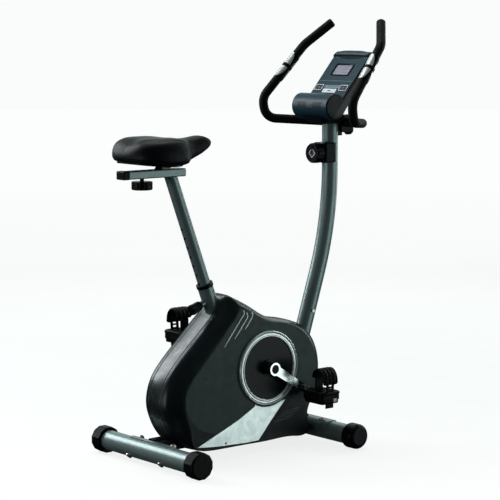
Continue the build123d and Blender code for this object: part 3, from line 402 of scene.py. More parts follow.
# ---------------------------------------------------------------- mesh helpers
def make(name, verts, faces, mat, smooth=True, sharp=35):
    me = bpy.data.meshes.new(name)
    me.from_pydata([tuple(v) for v in verts], [], faces)
    me.validate()
    bm = bmesh.new()
    bm.from_mesh(me)
    bmesh.ops.recalc_face_normals(bm, faces=bm.faces)
    bm.to_mesh(me)
    bm.free()
    o = bpy.data.objects.new(name, me)
    scene.collection.objects.link(o)
    me.materials.append(mat)
    if smooth:
        for p in me.polygons:
            p.use_smooth = True
        if sharp:
            me.set_sharp_from_angle(angle=math.radians(sharp))
    return o


def apply(o):
    bpy.context.view_layer.update()
    dg = bpy.context.evaluated_depsgraph_get()
    me = bpy.data.meshes.new_from_object(o.evaluated_get(dg))
    old = o.data
    o.modifiers.clear()
    o.data = me
    if old.users == 0:
        bpy.data.meshes.remove(old)
    return o


def sweep(name, path, radius, mat, sides=10, closed=False, squeeze=None):
    """A round bead along a path of row-frame points. squeeze(i) scales its radius."""
    path = [Vector(p) for p in path]
    verts, faces = [], []
    n = len(path)
    ref = None
    for i, p in enumerate(path):
        a = path[i - 1] if (i > 0 or closed) else p
        b = path[(i + 1) % n] if (i < n - 1 or closed) else p
        tan = (b - a).normalized()
        if ref is None:
            ref = tan.orthogonal().normalized()
        ref = (ref - tan * ref.dot(tan)).normalized()
        bi = tan.cross(ref)
        r = radius * (squeeze(i / max(1, n - 1)) if squeeze else 1)
        for k in range(sides):
            th = 2 * math.pi * k / sides
            verts.append(p + ref * (r * math.cos(th)) + bi * (r * math.sin(th)))
    spans = n if closed else n - 1
    for i in range(spans):
        j = (i + 1) % n
        for k in range(sides):
            l = (k + 1) % sides
            faces.append((i * sides + k, i * sides + l, j * sides + l, j * sides + k))
    if not closed:
        faces.append(tuple(range(sides))[::-1])
        faces.append(tuple((n - 1) * sides + k for k in range(sides)))
    return make(name, verts, faces, mat)


def ribbon(name, path, across, lift, width, thick, mat, crown=0.25):
    """A flat printed or raised strip: path points, the direction across it and the way it lifts."""
    path = [Vector(p) for p in path]
    prof = [(-0.5, 0), (-0.46, 0.75), (-0.25, 1.0), (0.25, 1.0), (0.46, 0.75), (0.5, 0)]
    verts, faces = [], []
    m = len(prof)
    for i, p in enumerate(path):
        ac = across(i) if callable(across) else across
        li = lift(i) if callable(lift) else lift
        w = width(i / max(1, len(path) - 1)) if callable(width) else width
        for u, h in prof:
            verts.append(p + ac * (u * w) + li * (h * thick))
    for i in range(len(path) - 1):
        for k in range(m - 1):
            faces.append((i * m + k, i * m + k + 1, (i + 1) * m + k + 1, (i + 1) * m + k))
        faces.append((i * m + m - 1, i * m, (i + 1) * m, (i + 1) * m + m - 1))
    faces.append(tuple(range(m)))
    faces.append(tuple((len(path) - 1) * m + k for k in range(m))[::-1])
    return make(name, verts, faces, mat, sharp=30)


def plate(name, outline, place, thick_lo, thick_hi, mat, bevel=0.0):
    """A closed outline in two local coordinates, raised between two heights; place(u, v, h) gives the point."""
    n = len(outline)
    verts, faces = [], []
    cx = sum(p[0] for p in outline) / n
    cy = sum(p[1] for p in outline) / n
    rings = [(0.0, thick_lo)]
    if bevel:
        rings += [(0.0, thick_hi - bevel * (1 if thick_hi > thick_lo else -1)), (bevel * 0.4, thick_hi - bevel * 0.3 * (1 if thick_hi > thick_lo else -1)), (bevel, thick_hi)]
    else:
        rings += [(0.0, thick_hi)]
    for inset, h in rings:
        for i in range(n):
            a, b, c = outline[i - 1], outline[i], outline[(i + 1) % n]
            tx, ty = c[0] - a[0], c[1] - a[1]
            L = math.hypot(tx, ty) or 1
            nx, ny = -ty / L, tx / L
            if (cx - b[0]) * nx + (cy - b[1]) * ny < 0:
                nx, ny = -nx, -ny
            verts.append(place(b[0] + nx * inset, b[1] + ny * inset, h))
    for k in range(len(rings) - 1):
        for i in range(n):
            j = (i + 1) % n
            faces.append((k * n + i, k * n + j, (k + 1) * n + j, (k + 1) * n + i))
    faces.append(tuple(range(n))[::-1])
    faces.append(tuple((len(rings) - 1) * n + i for i in range(n)))
    return make(name, verts, faces, mat, sharp=30)


def round_rect(u0, u1, v0, v1, r, n=6):
    out = []
    for cu, cv, a0 in ((u1 - r, v1 - r, 0), (u0 + r, v1 - r, 90), (u0 + r, v0 + r, 180), (u1 - r, v0 + r, 270)):
        for k in range(n + 1):
            a = math.radians(a0 + 90 * k / n)
            out.append((cu + r * math.cos(a), cv + r * math.sin(a)))
    return out


def frame_ring(name, outer, inner, place, lo, hi, mat):
    """A flat frame between two outlines with the same number of points."""
    n = len(outer)
    verts = [place(u, v, lo) for u, v in outer] + [place(u, v, hi) for u, v in outer] \
        + [place(u, v, hi) for u, v in inner] + [place(u, v, lo) for u, v in inner]
    faces = []
    for ring in range(4):
        for i in range(n):
            j = (i + 1) % n
            faces.append((ring * n + i, ring * n + j, ((ring + 1) % 4) * n + j, ((ring + 1) % 4) * n + i))
    return make(name, verts, faces, mat, sharp=30)


def interp(table, x):
    return float(np.interp(x, [p[0] for p in table], [p[1] for p in table]))


# ---------------------------------------------------------------- saddle cushion
PLAN = [(-94, 0), (-92, 44), (-79, 78), (-50, 103), (-8, 115), (34, 116), (70, 106), (98, 82), (116, 55),
        (142, 42), (178, 38), (208, 32), (226, 16)]
SIDE = [(-104, 903), (-60, 896), (0, 890), (80, 889), (128, 898), (180, 915), (210, 930), (228, 944)]
TOPL = [(-110, 926), (-96, 946), (-74, 961), (-36, 969), (33, 969), (97, 960), (140, 961), (190, 970), (214, 967), (233, 951)]


def smooth_table(table, x):
    """Table value with its corners rounded."""
    return sum(interp(table, x + d) * w for d, w in ((-24, .1), (-12, .2), (0, .4), (12, .2), (24, .1)))


def saddle():
    half = [p for p in catmull([(-94, -44)] + PLAN + [(226, -16)], 9)]
    start = 9
    half = half[start:start + 9 * (len(PLAN) - 1) + 1]
    outline = [(p[0], max(0.0, p[1])) for p in half]
    outline = outline + [(230.5, 0)] + [(x, -y) for x, y in reversed(outline[1:])]
    inset = 1.2
    rings = [(0.0, 0.0), (0.3, 0.0), (0.62, 0.0), (0.88, 0.0), (0.96, 0.015), (0.99, 0.07), (1.0, 0.20), (1.003, 0.42),
             (0.99, 0.58), (0.965, 0.72), (0.92, 0.835), (0.85, 0.915), (0.75, 0.965), (0.62, 0.99), (0.48, 1.0),
             (0.34, 1.0), (0.2, 1.0), (0.0, 1.0)]
    verts, faces = [], []
    n = len(outline)
    for rho, h in rings:
        for i, (ox, oy) in enumerate(outline):
            cx = min(max(ox, -30.0), 190.0)
            dx, dy = ox - cx, oy
            L = math.hypot(dx, dy) or 1.0
            s = max(0.0, (L - inset) / L) * rho
            # fuller bottom edge at the wings, slimmer under the nose
            x, y = cx + dx * s, dy * s
            zb, zt = smooth_table(SIDE, x) - 0.5, smooth_table(TOPL, x) - 3.2 - 2.2 * max(0.0, min(1.0, (70 - x) / 60))
            z = zb + (zt - zb) * h
            if h > 0.55:
                k = (h - 0.55) / 0.45
                wing = max(0.0, 1 - max(0.0, x - 30) / 80) if x > 30 else 1.0
                rear = min(1.0, max(0.0, (x + 94) / 22))
                lobe = math.exp(-((abs(y) - 52) / 26) ** 2)
                z += k * wing * rear * (1.6 * lobe - 3.2 * math.exp(-(y / 17) ** 2))
                front = min(1.0, max(0.0, (x - 70) / 40))
                z += k * front * (-2.0 * (abs(y) / 30) ** 2)
            verts.append(P(x, y, z))
    R = len(rings)
    for k in range(R - 1):
        for i in range(n):
            j = (i + 1) % n
            faces.append((k * n + i, k * n + j, (k + 1) * n + j, (k + 1) * n + i))
    me = bpy.data.meshes.new("saddle_pad")
    me.from_pydata([tuple(v) for v in verts], [], faces)
    bm = bmesh.new()
    bm.from_mesh(me)
    bmesh.ops.remove_doubles(bm, verts=bm.verts, dist=0.0003)
    bmesh.ops.holes_fill(bm, edges=[e for e in bm.edges if e.is_boundary])
    bmesh.ops.recalc_face_normals(bm, faces=bm.faces)
    bm.to_mesh(me)
    bm.free()
    o = bpy.data.objects.new("saddle_pad", me)
    scene.collection.objects.link(o)
    rm = o.modifiers.new("remesh", "REMESH")
    rm.mode = "VOXEL"
    rm.voxel_size = 0.0045
    rm.use_smooth_shade = True
    apply(o)
    rest = np.array([v.co for v in o.data.vertices])
    cloth = o.modifiers.new("cloth", "CLOTH")
    cs = cloth.settings
    cs.quality = 6
    cs.mass = 0.25
    cs.tension_stiffness = cs.compression_stiffness = 18
    cs.shear_stiffness = 8
    cs.bending_stiffness = 1.2
    cs.use_pressure = True
    cs.uniform_pressure_force = 4
    cs.effector_weights.gravity = 0
    cloth.point_cache.frame_start = 1
    cloth.point_cache.frame_end = 20
    for f in range(1, 21):
        scene.frame_set(f)
    apply(o)
    scene.frame_set(1)
    now = np.array([v.co for v in o.data.vertices])
    move = now - rest
    length = np.linalg.norm(move, axis=1)
    cap = 0.003
    scale = np.where(length > 1e-9, np.minimum(1, cap / np.maximum(length, 1e-9)), 1)
    now = rest + move * scale[:, None]
    # it rests flat on its pan
    now[:, 2] = np.where(rest[:, 2] < now[:, 2], now[:, 2], np.maximum(now[:, 2], rest[:, 2] - 0.001))
    o.data.vertices.foreach_set("co", now.ravel())
    o.data.update()
    sm = o.modifiers.new("smooth", "CORRECTIVE_SMOOTH")
    sm.iterations = 18
    sm.use_only_smooth = True
    sub = o.modifiers.new("sub", "SUBSURF")
    sub.levels = sub.render_levels = 1
    apply(o)
    # sewn lines: a welt where the top panel meets the side, and a channel along the middle of the seat
    me = o.data
    co = np.array([v.co for v in me.vertices])
    nor = np.array([v.normal for v in me.vertices])
    mm = co.copy()
    mm[:, 0] = (mm[:, 0] - X0)
    mm *= 1000
    x, y, z = mm.T
    xs = np.linspace(-90, 218, 90)
    ws = np.array([max([p[1] for p in [(0, 0)]] + [0]) for _ in xs])
    hw = np.interp(x, [p[0] for p in outline if p[1] >= 0][: len(half)], [p[1] for p in half])
    zb = np.array([smooth_table(SIDE, v) for v in x])
    zt = np.array([smooth_table(TOPL, v) for v in x])
    rel = (z - zb) / np.maximum(zt - zb, 1)
    # welt line height falls from the top of the wing to its foot at the front of the wing
    line = np.interp(x, [-94, -66, -36, 0, 60, 84, 98, 108], [0.56, 0.70, 0.86, 0.90, 0.90, 0.72, 0.40, 0.05])
    off = (rel - line)
    u = np.clip((np.abs(y) / np.maximum(hw, 1) - 0.55) / 0.25, 0, 1)
    fade = u * u * (3 - 2 * u) * np.clip((x + 50) / 40, 0, 1) * np.clip((112 - x) / 10, 0, 1)
    on = np.exp(-(off / 0.035) ** 2) * fade
    ridge = np.exp(-((off - 0.085) / 0.055) ** 2) * fade
    depth = -1.5 * on + 0.8 * ridge
    mid = np.exp(-(y / 4.5) ** 2) * np.clip((x + 96) / 12, 0, 1) * np.clip((96 - x) / 26, 0, 1) * (rel > 0.6)
    depth = depth - 0.7 * mid
    # two soft creases fan forward from the seat to the nose
    for side in (-1, 1):
        d = np.abs(y - side * (24 - 0.10 * (x - 60)))
        depth = depth - 0.5 * np.exp(-(d / 4.0) ** 2) * np.clip((x - 40) / 20, 0, 1) * np.clip((150 - x) / 30, 0, 1) * (rel > 0.7)
    # bottom seam above the pan
    depth = depth - 0.8 * np.exp(-((z - zb - 7) / 1.8) ** 2)
    co = co + nor * (depth / 1000)[:, None]
    me.vertices.foreach_set("co", co.ravel())
    me.update()
    for p in me.polygons:
        p.use_smooth = True
    me.materials.clear()
    me.materials.append(M["vinyl"])
    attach(o, "saddle")
    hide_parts("saddle_cushion")
    return o


saddle()

# ---------------------------------------------------------------- pedal straps
LOOP = [(199.5, -38), (199.6, -14), (200, 6), (202.5, 28), (203.5, 46), (199, 64), (187, 77), (172, 79), (159, 70),
        (153.5, 52), (152.4, 30), (152.4, 6)]
CRANK = (388, 256)
PED = {"right": (529.69, 169.51, -1), "left": (246.31, 342.49, 1)}


def strap(side):
    px, pz, sg = PED[side]
    line = catmull(LOOP, 12)
    cum = [0.0]
    for a, b in zip(line, line[1:]):
        cum.append(cum[-1] + float(np.linalg.norm(b - a)))
    total = cum[-1]

    def at(s):
        y = np.interp(s, cum, [p[0] for p in line])
        z = np.interp(s, cum, [p[1] for p in line])
        s2, s1 = min(total, s + 0.8), max(0, s - 0.8)
        ty = np.interp(s2, cum, [p[0] for p in line]) - np.interp(s1, cum, [p[0] for p in line])
        tz = np.interp(s2, cum, [p[1] for p in line]) - np.interp(s1, cum, [p[1] for p in line])
        L = math.hypot(ty, tz)
        return y, z, tz / L, -ty / L  # place, and the way out of the loop

    # band with a ladder of slots on its outer run
    rows = []
    s = 0.0
    period, slot = 11.0, 5.6
    holes = (46.0, 46.0 + period * 3)
    marks = [0.0]
    while marks[-1] < total:
        v = marks[-1]
        if holes[0] <= v < holes[1]:
            k = (v - holes[0]) % period
            v += slot if k < slot - 0.01 else period - slot
        else:
            v = min(v + 3.0, holes[0]) if v < holes[0] else v + 3.0
        marks.append(min(v, total))
        if marks[-1] >= total:
            break
    cols = [-15.5, -14.0, -6.2, 0.0, 6.2, 14.0, 15.5]
    verts, faces = [], []
    for v in marks:
        y, z, ny, nz = at(v)
        for c in cols:
            verts.append(P(px + c, sg * y, pz + z))
    m = len(cols)
    for i in range(len(marks) - 1):
        inside = holes[0] <= marks[i] < holes[1] and (marks[i] - holes[0]) % period < 0.01
        for k in range(m - 1):
            if inside and k in (2, 3):
                continue
            faces.append((i * m + k, i * m + k + 1, (i + 1) * m + k + 1, (i + 1) * m + k))
    o = make("strap_band_" + side, verts, faces, M["rubber"], sharp=0)
    sol = o.modifiers.new("solid", "SOLIDIFY")
    sol.thickness = 0.0026
    sol.offset = 0
    bev = o.modifiers.new("bev", "BEVEL")
    bev.width = 0.0006
    bev.segments = 2
    bev.limit_method = "ANGLE"
    bev.angle_limit = math.radians(50)
    apply(o)
    for p in o.data.polygons:
        p.use_smooth = True
    o.data.set_sharp_from_angle(angle=math.radians(40))
    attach(o, "pedal_" + side)
    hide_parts("pedal_strap_" + side)

    # ribbed pad over the top of the foot
    s0, s1 = cum[40], cum[108]
    n = 60
    cs = np.linspace(-29, 29, 81)
    verts, faces = [], []
    for i in range(n + 1):
        t = i / n
        v = s0 + (s1 - s0) * t
        y, z, ny, nz = at(v)
        end = min(1.0, math.sin(math.pi * min(max(t, 0.0), 1.0)) * 6) ** 0.5 if 0 < t < 1 else 0.0
        w = 0.80 + 0.20 * min(1.0, end)
        top, bot = [], []
        for c in cs:
            edge = max(0.0, 1 - (abs(c) / 29) ** 12)
            rib = 2.2 * abs(math.cos(math.pi * c / 14.5)) ** 0.7
            h_out = (1.3 + (1.5 + rib) * end) * edge ** 0.5
            h_in = (1.3 + 1.2 * end) * edge ** 0.5
            top.append(P(px + c * w, sg * (y + ny * h_out), pz + z + nz * h_out))
            bot.append(P(px + c * w, sg * (y - ny * h_in), pz + z - nz * h_in))
        verts += top + bot[::-1]
    m = 2 * len(cs)
    for i in range(n):
        for k in range(m):
            l = (k + 1) % m
            faces.append((i * m + k, i * m + l, (i + 1) * m + l, (i + 1) * m + k))
    faces.append(tuple(range(m))[::-1])
    faces.append(tuple(n * m + k for k in range(m)))
    o = make("strap_pad_" + side, verts, faces, M["rubber"], sharp=50)
    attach(o, "pedal_" + side)


for _s in PED:
    strap(_s)

# ---------------------------------------------------------------- case graphics and seams
SEAM = [(262, 481), (259, 468), (250, 454), (230, 433), (198, 402), (169, 373), (140, 345), (111, 318), (76, 287),
        (53, 264), (37, 242), (29, 220), (26, 195), (26, 168), (33, 143), (49, 112), (66, 92), (92, 66), (118, 47), (142, 33)]
SPINE = [(268, 483), (261, 485), (244, 470), (226, 440), (198, 414), (156, 376), (110, 335), (66, 292), (34, 250), (19, 205),
         (17, 172), (27, 134), (46, 97), (74, 66), (110, 41), (150, 28), (200, 25)]
SPL = catmull(SPINE, 7)
OUT = []
for i, p in enumerate(SPL):
    a, b = SPL[max(0, i - 1)], SPL[min(len(SPL) - 1, i + 1)]
    d = (b - a) / np.linalg.norm(b - a)
    OUT.append(np.array([d[1], -d[0]]))
if OUT[len(OUT) // 2][0] > 0:
    OUT = [-v for v in OUT]
COLS = [-36.5, -35.5, -33, -30.5, -29.2, -28.4, -28, -27.6, -26.8, -25, -20, -13, -6, 0, 6, 13, 20, 25, 26.8, 27.6, 28, 28.4, 29.2, 30.5, 33, 35.5, 36.5]
verts, faces = [], []
for p, nrm in zip(SPL, OUT):
    for y in COLS:
        a = abs(y)
        if a <= 28:
            h = 0.5 + 1.1 * (1 - (a / 28) ** 2)
        else:
            h = 0.5 - 0.9 * max(0.0, (a - 33) / 3.5) ** 1.5
        h -= 1.3 * math.exp(-((a - 28) / 0.55) ** 2)
        verts.append(P(p[0] + nrm[0] * h, y, p[1] + nrm[1] * h))
m = len(COLS)
for i in range(len(SPL) - 1):
    for k in range(m - 1):
        faces.append((i * m + k, i * m + k + 1, (i + 1) * m + k + 1, (i + 1) * m + k))
band = make("spine_band", verts, faces, M["spine"], sharp=0)
bm = bmesh.new()
bm.from_mesh(band.data)
bm.faces.ensure_lookup_table()
fmid = bm.faces[len(bm.faces) // 2]
if fmid.normal.x > 0:
    bmesh.ops.reverse_faces(bm, faces=bm.faces)
bm.to_mesh(band.data)
bm.free()
sol = band.modifiers.new("solid", "SOLIDIFY")
sol.thickness = 0.003
sol.offset = -1
apply(band)
for p in band.data.polygons:
    p.use_smooth = True
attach(band, "frame")
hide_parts("spine_cover")

for sg, nm in ((-1, "right"), (1, "left")):
    path = [P(p[0] - nrm[0] * 0.55, sg * 28.0, p[1] - nrm[1] * 0.55) for p, nrm in zip(SPL, OUT)]
    o = sweep("spine_gasket_" + nm, path, 0.0011, M["gap"], 8)
    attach(o, "frame")

    # three pinstripes, each turning up round the shoulder of the face
    STR = [[(219, 337), (256, 382), (290, 423), (296, 431), (294, 441)],
           [(259, 358), (285, 389), (304, 412), (309, 421), (306, 433)],
           [(299, 383), (313, 400), (324, 414), (329, 423), (325, 432)]]
    for k, line in enumerate(STR):
        pts = catmull(line, 8)
        path = [P(p[0], sg * 76.95, p[1]) for p in pts]

        def across(i, pts=pts):
            a, b = pts[max(0, i - 1)], pts[min(len(pts) - 1, i + 1)]
            d = (b - a) / np.linalg.norm(b - a)
            return Vector((-d[1], 0, d[0]))

        o = ribbon(f"pinstripe_{nm}_{k + 1}", path, across, Vector((0, sg, 0)), lambda t: 0.0038 * min(1.0, 0.45 + 5 * t), 0.00035, M["stripe"])
        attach(o, "frame")

    # cooling louvres low on the front of the face
    for k in range(5):
        x0, z0 = 443 - 8.5 * k, 112 - 7.2 * k
        x1, z1 = 519 - 6.8 * k, 117 - 6.2 * k
        path = [P(x0 + (x1 - x0) * j / 10, sg * 76.9, z0 + (z1 - z0) * j / 10) for j in range(11)]
        o = ribbon(f"louvre_{nm}_{k + 1}", path, Vector((0, 0, 1)), Vector((0, sg, 0)),
                   lambda t: 0.0026 * (0.25 + 0.75 * min(1, 6 * t, 6 * (1 - t))), 0.0011, M["vent"])
        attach(o, "frame")

# ---------------------------------------------------------------- console
FB = (676, 1053)
FU = (math.cos(math.radians(49)), math.sin(math.radians(49)))
FN = (FU[1], -FU[0])


def face(u, y, h):
    """A point on the console's face: u up it, y across, h proud of it."""
    return P(FB[0] + u * FU[0] - h * FN[0], y, FB[1] + u * FU[1] - h * FN[1])


def add(o, body):
    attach(o, body)
    return o


add(plate("lcd_field", round_rect(108, 145, -34, 34, 1.5), face, -0.6, 0.1, M["lcd"]), "frame")
ring_o, ring_i = round_rect(102.5, 151.5, -42.5, 42.5, 4), round_rect(105.4, 148.6, -39.6, 39.6, 2.5)
add(frame_ring("lcd_bezel", ring_o, ring_i, face, -0.5, 0.7, M["lens"]), "frame")
add(plate("face_line", round_rect(81.4, 82.6, -77, 77, 0.5), face, -0.4, 0.22, M["pale_blue"]), "frame")
add(plate("key_panel", round_rect(52.5, 64.5, -35, 35, 1.5), face, -0.4, 0.35, M["pale_blue"], bevel=0.25), "frame")
for nm, y0, y1 in (("left", 38, 74), ("right", -74, -38)):
    a, b = round_rect(42.6, 65.4, y0 + .6, y1 - .6, 3.2), round_rect(44.6, 63.4, y0 + 2.6, y1 - 2.6, 1.8)
    add(frame_ring("key_outline_" + nm, a, b, face, 1.2, 1.75, M["pale"]), "button_" + nm)
    ym = (y0 + y1) / 2
    add(plate("key_mark_" + nm, round_rect(52.6, 55.4, ym - 6.5, ym + 6.5, 1.2), face, 1.2, 1.72, M["pale_blue"]), "button_" + nm)
add(plate("key_mark_centre", round_rect(39.4, 42.4, -8, 8, 1.3), face, 1.2, 1.75, M["button"]), "button_centre")

# raised lip along the head of the face, with a dark plate below it that paints the shadow under the lip
prof = [(181.0, -1.0), (181.6, 3.0), (183.0, 6.2), (186.0, 8.2), (191.0, 8.8), (197.0, 7.6), (202.0, 4.4), (205.0, 0.0), (205.5, -5.0), (190, -6.0)]
verts, faces = [], []
ys = np.linspace(-1, 1, 41)
for t in ys:
    y = 80.5 * t
    e = max(0.0, 1 - abs(t) ** 14) ** 0.5
    drop = 12.0 * (abs(t) ** 4)
    for u, h in prof:
        verts.append(face(190 + (u - 190) * (0.4 + 0.6 * e) - drop * (0.35 if u < 190 else 1.0), y, h * (0.15 + 0.85 * e) if h > 0 else h))
m = len(prof)
for i in range(len(ys) - 1):
    for k in range(m):
        l = (k + 1) % m
        faces.append((i * m + k, i * m + l, (i + 1) * m + l, (i + 1) * m + k))
faces.append(tuple(range(m))[::-1])
faces.append(tuple((len(ys) - 1) * m + k for k in range(m)))
add(make("console_lip", verts, faces, M["slate"], sharp=50), "frame")
# outline of the dark plate under the lip: painted shadow
arc = []
for k in range(25):
    t = -1 + 2 * k / 24
    arc.append((181.6 - 1.0 * t * t, 60 * t))
for k in range(25):
    t = 1 - 2 * k / 24
    arc.append((172.5 + 6.6 * abs(t) ** 2.4, 60 * t))
add(plate("lip_painted_shadow", arc, face, -1.5, 1.6, M["gap"]), "frame")

# chevron slots on the roll
RC, RR = (658, 1038), 40


def roll(arcmm, y, h):
    a = math.radians(172) - arcmm / RR
    return P(RC[0] + (RR + h) * math.cos(a), y, RC[1] + (RR + h) * math.sin(a))


for g, sgn in (("a", 1), ("b", -1)):
    for k in range(5):
        yc = sgn * (17 + 8.6 * k)
        pts = [(-10, yc + sgn * 4.6), (-5, yc + sgn * 1.6), (0, yc - sgn * 1.2), (5, yc + sgn * 1.6), (10, yc + sgn * 4.6)]
        line = [p for p in catmull(pts, 5)]
        verts, faces = [], []
        for p in line:
            for dy, h in ((-1.9, -0.6), (-1.9, 0.25), (1.9, 0.25), (1.9, -0.6)):
                verts.append(roll(p[0], p[1] + dy, h))
        for i in range(len(line) - 1):
            for q in range(4):
                w = (q + 1) % 4
                faces.append((i * 4 + q, i * 4 + w, (i + 1) * 4 + w, (i + 1) * 4 + q))
        faces.append((0, 1, 2, 3))
        e = (len(line) - 1) * 4
        faces.append((e + 3, e + 2, e + 1, e))
        add(make(f"chevron_{g}{k + 1}", verts, faces, M["gap"], sharp=30), "frame")

# ---------------------------------------------------------------- pedals: reflectors on their outer ends
for side in PED:
    px, pz, sg = PED[side]

    def outer(u, v, h, px=px, pz=pz, sg=sg):
        return P(px + u, sg * (208 + h), pz + v)

    add(plate("reflector_end_" + side, round_rect(9, 25, -20.5, -8.5, 3), outer, -2.2, 0.3, M["reflector"], bevel=0.5), "pedal_" + side)

# ---------------------------------------------------------------- pedals: deeper cage under the tread, rounded bumper
for side in PED:
    px, pz, sg = PED[side]

    def under(u, v, h, px=px, pz=pz, sg=sg):
        return P(px + u, sg * (163 + v), pz - h)

    add(plate("pedal_cage_" + side, round_rect(-35, 35, -42, 43.5, 9), under, 12.5, 24.0, M["plastic_soft"], bevel=2.5), "pedal_" + side)
    for k in range(5):
        u = -26 + 13 * k
        path = [P(px + u, sg * (125 + 7.6 * j), pz + 13.4) for j in range(11)]
        o = ribbon(f"pedal_tread_{side}_{k + 1}", path, Vector((1, 0, 0)), Vector((0, 0, 1)), 0.0052, 0.0016, M["rubber"])
        add(o, "pedal_" + side)
    path = [P(px + 44 * math.sin(math.radians(a)) * 0.86, sg * (206.5 - 5.0 * abs(math.sin(math.radians(a))) ** 3), pz + 8.5) for a in range(-84, 85, 12)]
    o = sweep("pedal_bumper_" + side, path, 0.0062, M["plastic"], 14, squeeze=lambda t: min(1.0, 0.35 + 3.5 * min(t, 1 - t)))
    add(o, "pedal_" + side)

# ---------------------------------------------------------------- handlebar grips and hand sensors
BAR = [(748, 118, 986), (618, 204, 995), (606, 210, 1058), (755, 177, 1226), (817, 111, 1298)]
BRAD_ALL = [60.0, 50.0, 46.0, 100.0, 100.0, 46.0, 50.0, 60.0]  # at each corner, from one end to the other


def filleted(points, radii):
    """Straight runs joined by arcs, as points about 4 mm apart."""
    pts = [np.array(p, float) for p in points]
    out = [pts[0]]
    for i in range(1, len(pts) - 1):
        a, b, c = pts[i - 1], pts[i], pts[i + 1]
        u, v = (a - b) / np.linalg.norm(a - b), (c - b) / np.linalg.norm(c - b)
        half = math.acos(np.clip(np.dot(u, v), -1, 1)) / 2
        r = min(radii[i - 1], 0.48 * min(np.linalg.norm(a - b), np.linalg.norm(c - b)) * math.tan(half)) if i not in (1,) else radii[i - 1]
        t = r / math.tan(half)
        bis = (u + v) / np.linalg.norm(u + v)
        cen = b + bis * (r / math.sin(half))
        s, e = b + u * t, b + v * t
        x = (s - cen) / r
        zed = np.cross(x, e - cen)
        zed /= np.linalg.norm(zed)
        w = np.cross(zed, x)
        sweep_angle = math.pi - 2 * half
        k = max(6, int(sweep_angle * r / 4))
        out += [cen + r * (math.cos(sweep_angle * j / k) * x + math.sin(sweep_angle * j / k) * w) for j in range(k + 1)]
    out.append(pts[-1])
    dense = [out[0]]
    for a, b in zip(out, out[1:]):
        L = np.linalg.norm(b - a)
        k = max(1, int(L / 4))
        dense += [a + (b - a) * j / k for j in range(1, k + 1)]
    return dense


FULLBAR = [(x, -y, z) for x, y, z in reversed(BAR)] + BAR
dense = filleted(FULLBAR, BRAD_ALL)
along = [0.0]
for a, b in zip(dense, dense[1:]):
    along.append(along[-1] + float(np.linalg.norm(b - a)))
TOT = along[-1]


def bar_radius(t):
    s = t * TOT
    e = min(s, TOT - s)
    mid = abs(s - TOT / 2)
    r = 14.4
    if mid < 34:
        r = 13.0 + 1.4 * max(0.0, (mid - 31) / 3)
    if e < 3.0:
        r *= math.sqrt(max(0.0, 1 - ((3.0 - e) / 3.0) ** 2)) * 0.22 + 0.78
    return r / 14.4


n_d = len(dense)
bar = sweep("grip_tube", [P(*p) for p in dense], 0.0144, M["foam"], 28, squeeze=lambda t: bar_radius(np.interp(t, np.linspace(0, 1, n_d), np.array(along) / TOT)))
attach(bar, "handlebar")
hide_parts("handlebar")


def wrap(name, origin, gd, c, s0, s1, half, r0, r1, mat, cols=17, rows=24):
    """A plate wrapped on the bar: half(s) is its half angle, from s0 to s1 along it."""
    w = gd.cross(c)
    verts, faces = [], []
    for lay, r in ((0, r0), (1, r1)):
        for i in range(rows + 1):
            s = s0 + (s1 - s0) * i / rows
            h = half((s - s0) / (s1 - s0))
            for k in range(cols):
                q = -1 + 2 * k / (cols - 1)
                a = h * q
                rr = r if lay == 0 else r - 0.5 * abs(q) ** 6
                verts.append(origin + gd * (s / 1000) + (c * math.cos(a) + w * math.sin(a)) * (rr / 1000))
    n1 = (rows + 1) * cols
    for i in range(rows):
        for k in range(cols - 1):
            a = i * cols + k
            faces.append((a, a + 1, a + cols + 1, a + cols))
            faces.append((n1 + a, n1 + a + cols, n1 + a + cols + 1, n1 + a + 1))
        for k in (0, cols - 1):
            a = i * cols + k
            faces.append((a, a + cols, n1 + a + cols, n1 + a))
    for k in range(cols - 1):
        for a in (k, rows * cols + k):
            faces.append((a, a + 1, n1 + a + 1, n1 + a))
    return make(name, verts, faces, mat, sharp=40)


for sg, nm in ((-1, "right"), (1, "left")):
    a, b = P(606, sg * 210, 1058), P(755, sg * 177, 1226)
    gd = (b - a).normalized()
    o0 = a + gd * 0.132
    c = Vector((-0.86, 0.0, 0.50))
    c = (c - gd * c.dot(gd)).normalized()
    shell = sweep("sensor_shell_" + nm, [o0 + gd * ((-54 + 108 * i / 36) / 1000) for i in range(37)], 0.0156, M["plastic"], 28,
                  squeeze=lambda t: 0.86 + 0.14 * min(1.0, 9 * t, 9 * (1 - t)) ** 0.5)
    add(shell, "handlebar")
    ring = sweep("sensor_ring_" + nm, [o0 + gd * (v / 1000) for v in (-4.6, -4.2, -3, 0, 3, 4.2, 4.6)], 0.0172, M["plastic"], 28,
                 squeeze=lambda t: 0.93 + 0.07 * min(1.0, 8 * t, 8 * (1 - t)) ** 0.5)
    add(ring, "handlebar")
    for f, cc in (("rear", c), ("front", -c)):
        for e, nm2 in ((1, "upper"), (-1, "lower")):
            o = wrap(f"sensor_{nm}_{f}_{nm2}", o0, gd * e, cc, 6.0, 49.0,
                     lambda t: math.radians(4 + 66 * math.sqrt(max(0.0, 1 - t ** 1.7))), 14.6, 16.6, M["sensor"])
            add(o, "handlebar")
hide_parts("pulse_sensors")

# ---------------------------------------------------------------- tension dial: a plain diamond on its face
def diamond(r, n=7):
    out = []
    for q in range(4):
        a0, a1 = math.pi / 2 * q, math.pi / 2 * (q + 1)
        p0, p1 = (r * math.cos(a0), r * math.sin(a0)), (r * math.cos(a1), r * math.sin(a1))
        for k in range(n):
            f = 0.06 + 0.88 * k / (n - 1)
            out.append((p0[0] + (p1[0] - p0[0]) * f, p0[1] + (p1[1] - p0[1]) * f))
    return out


def dial(u, v, h):
    return P(632.0 - h, u, 893 + v)


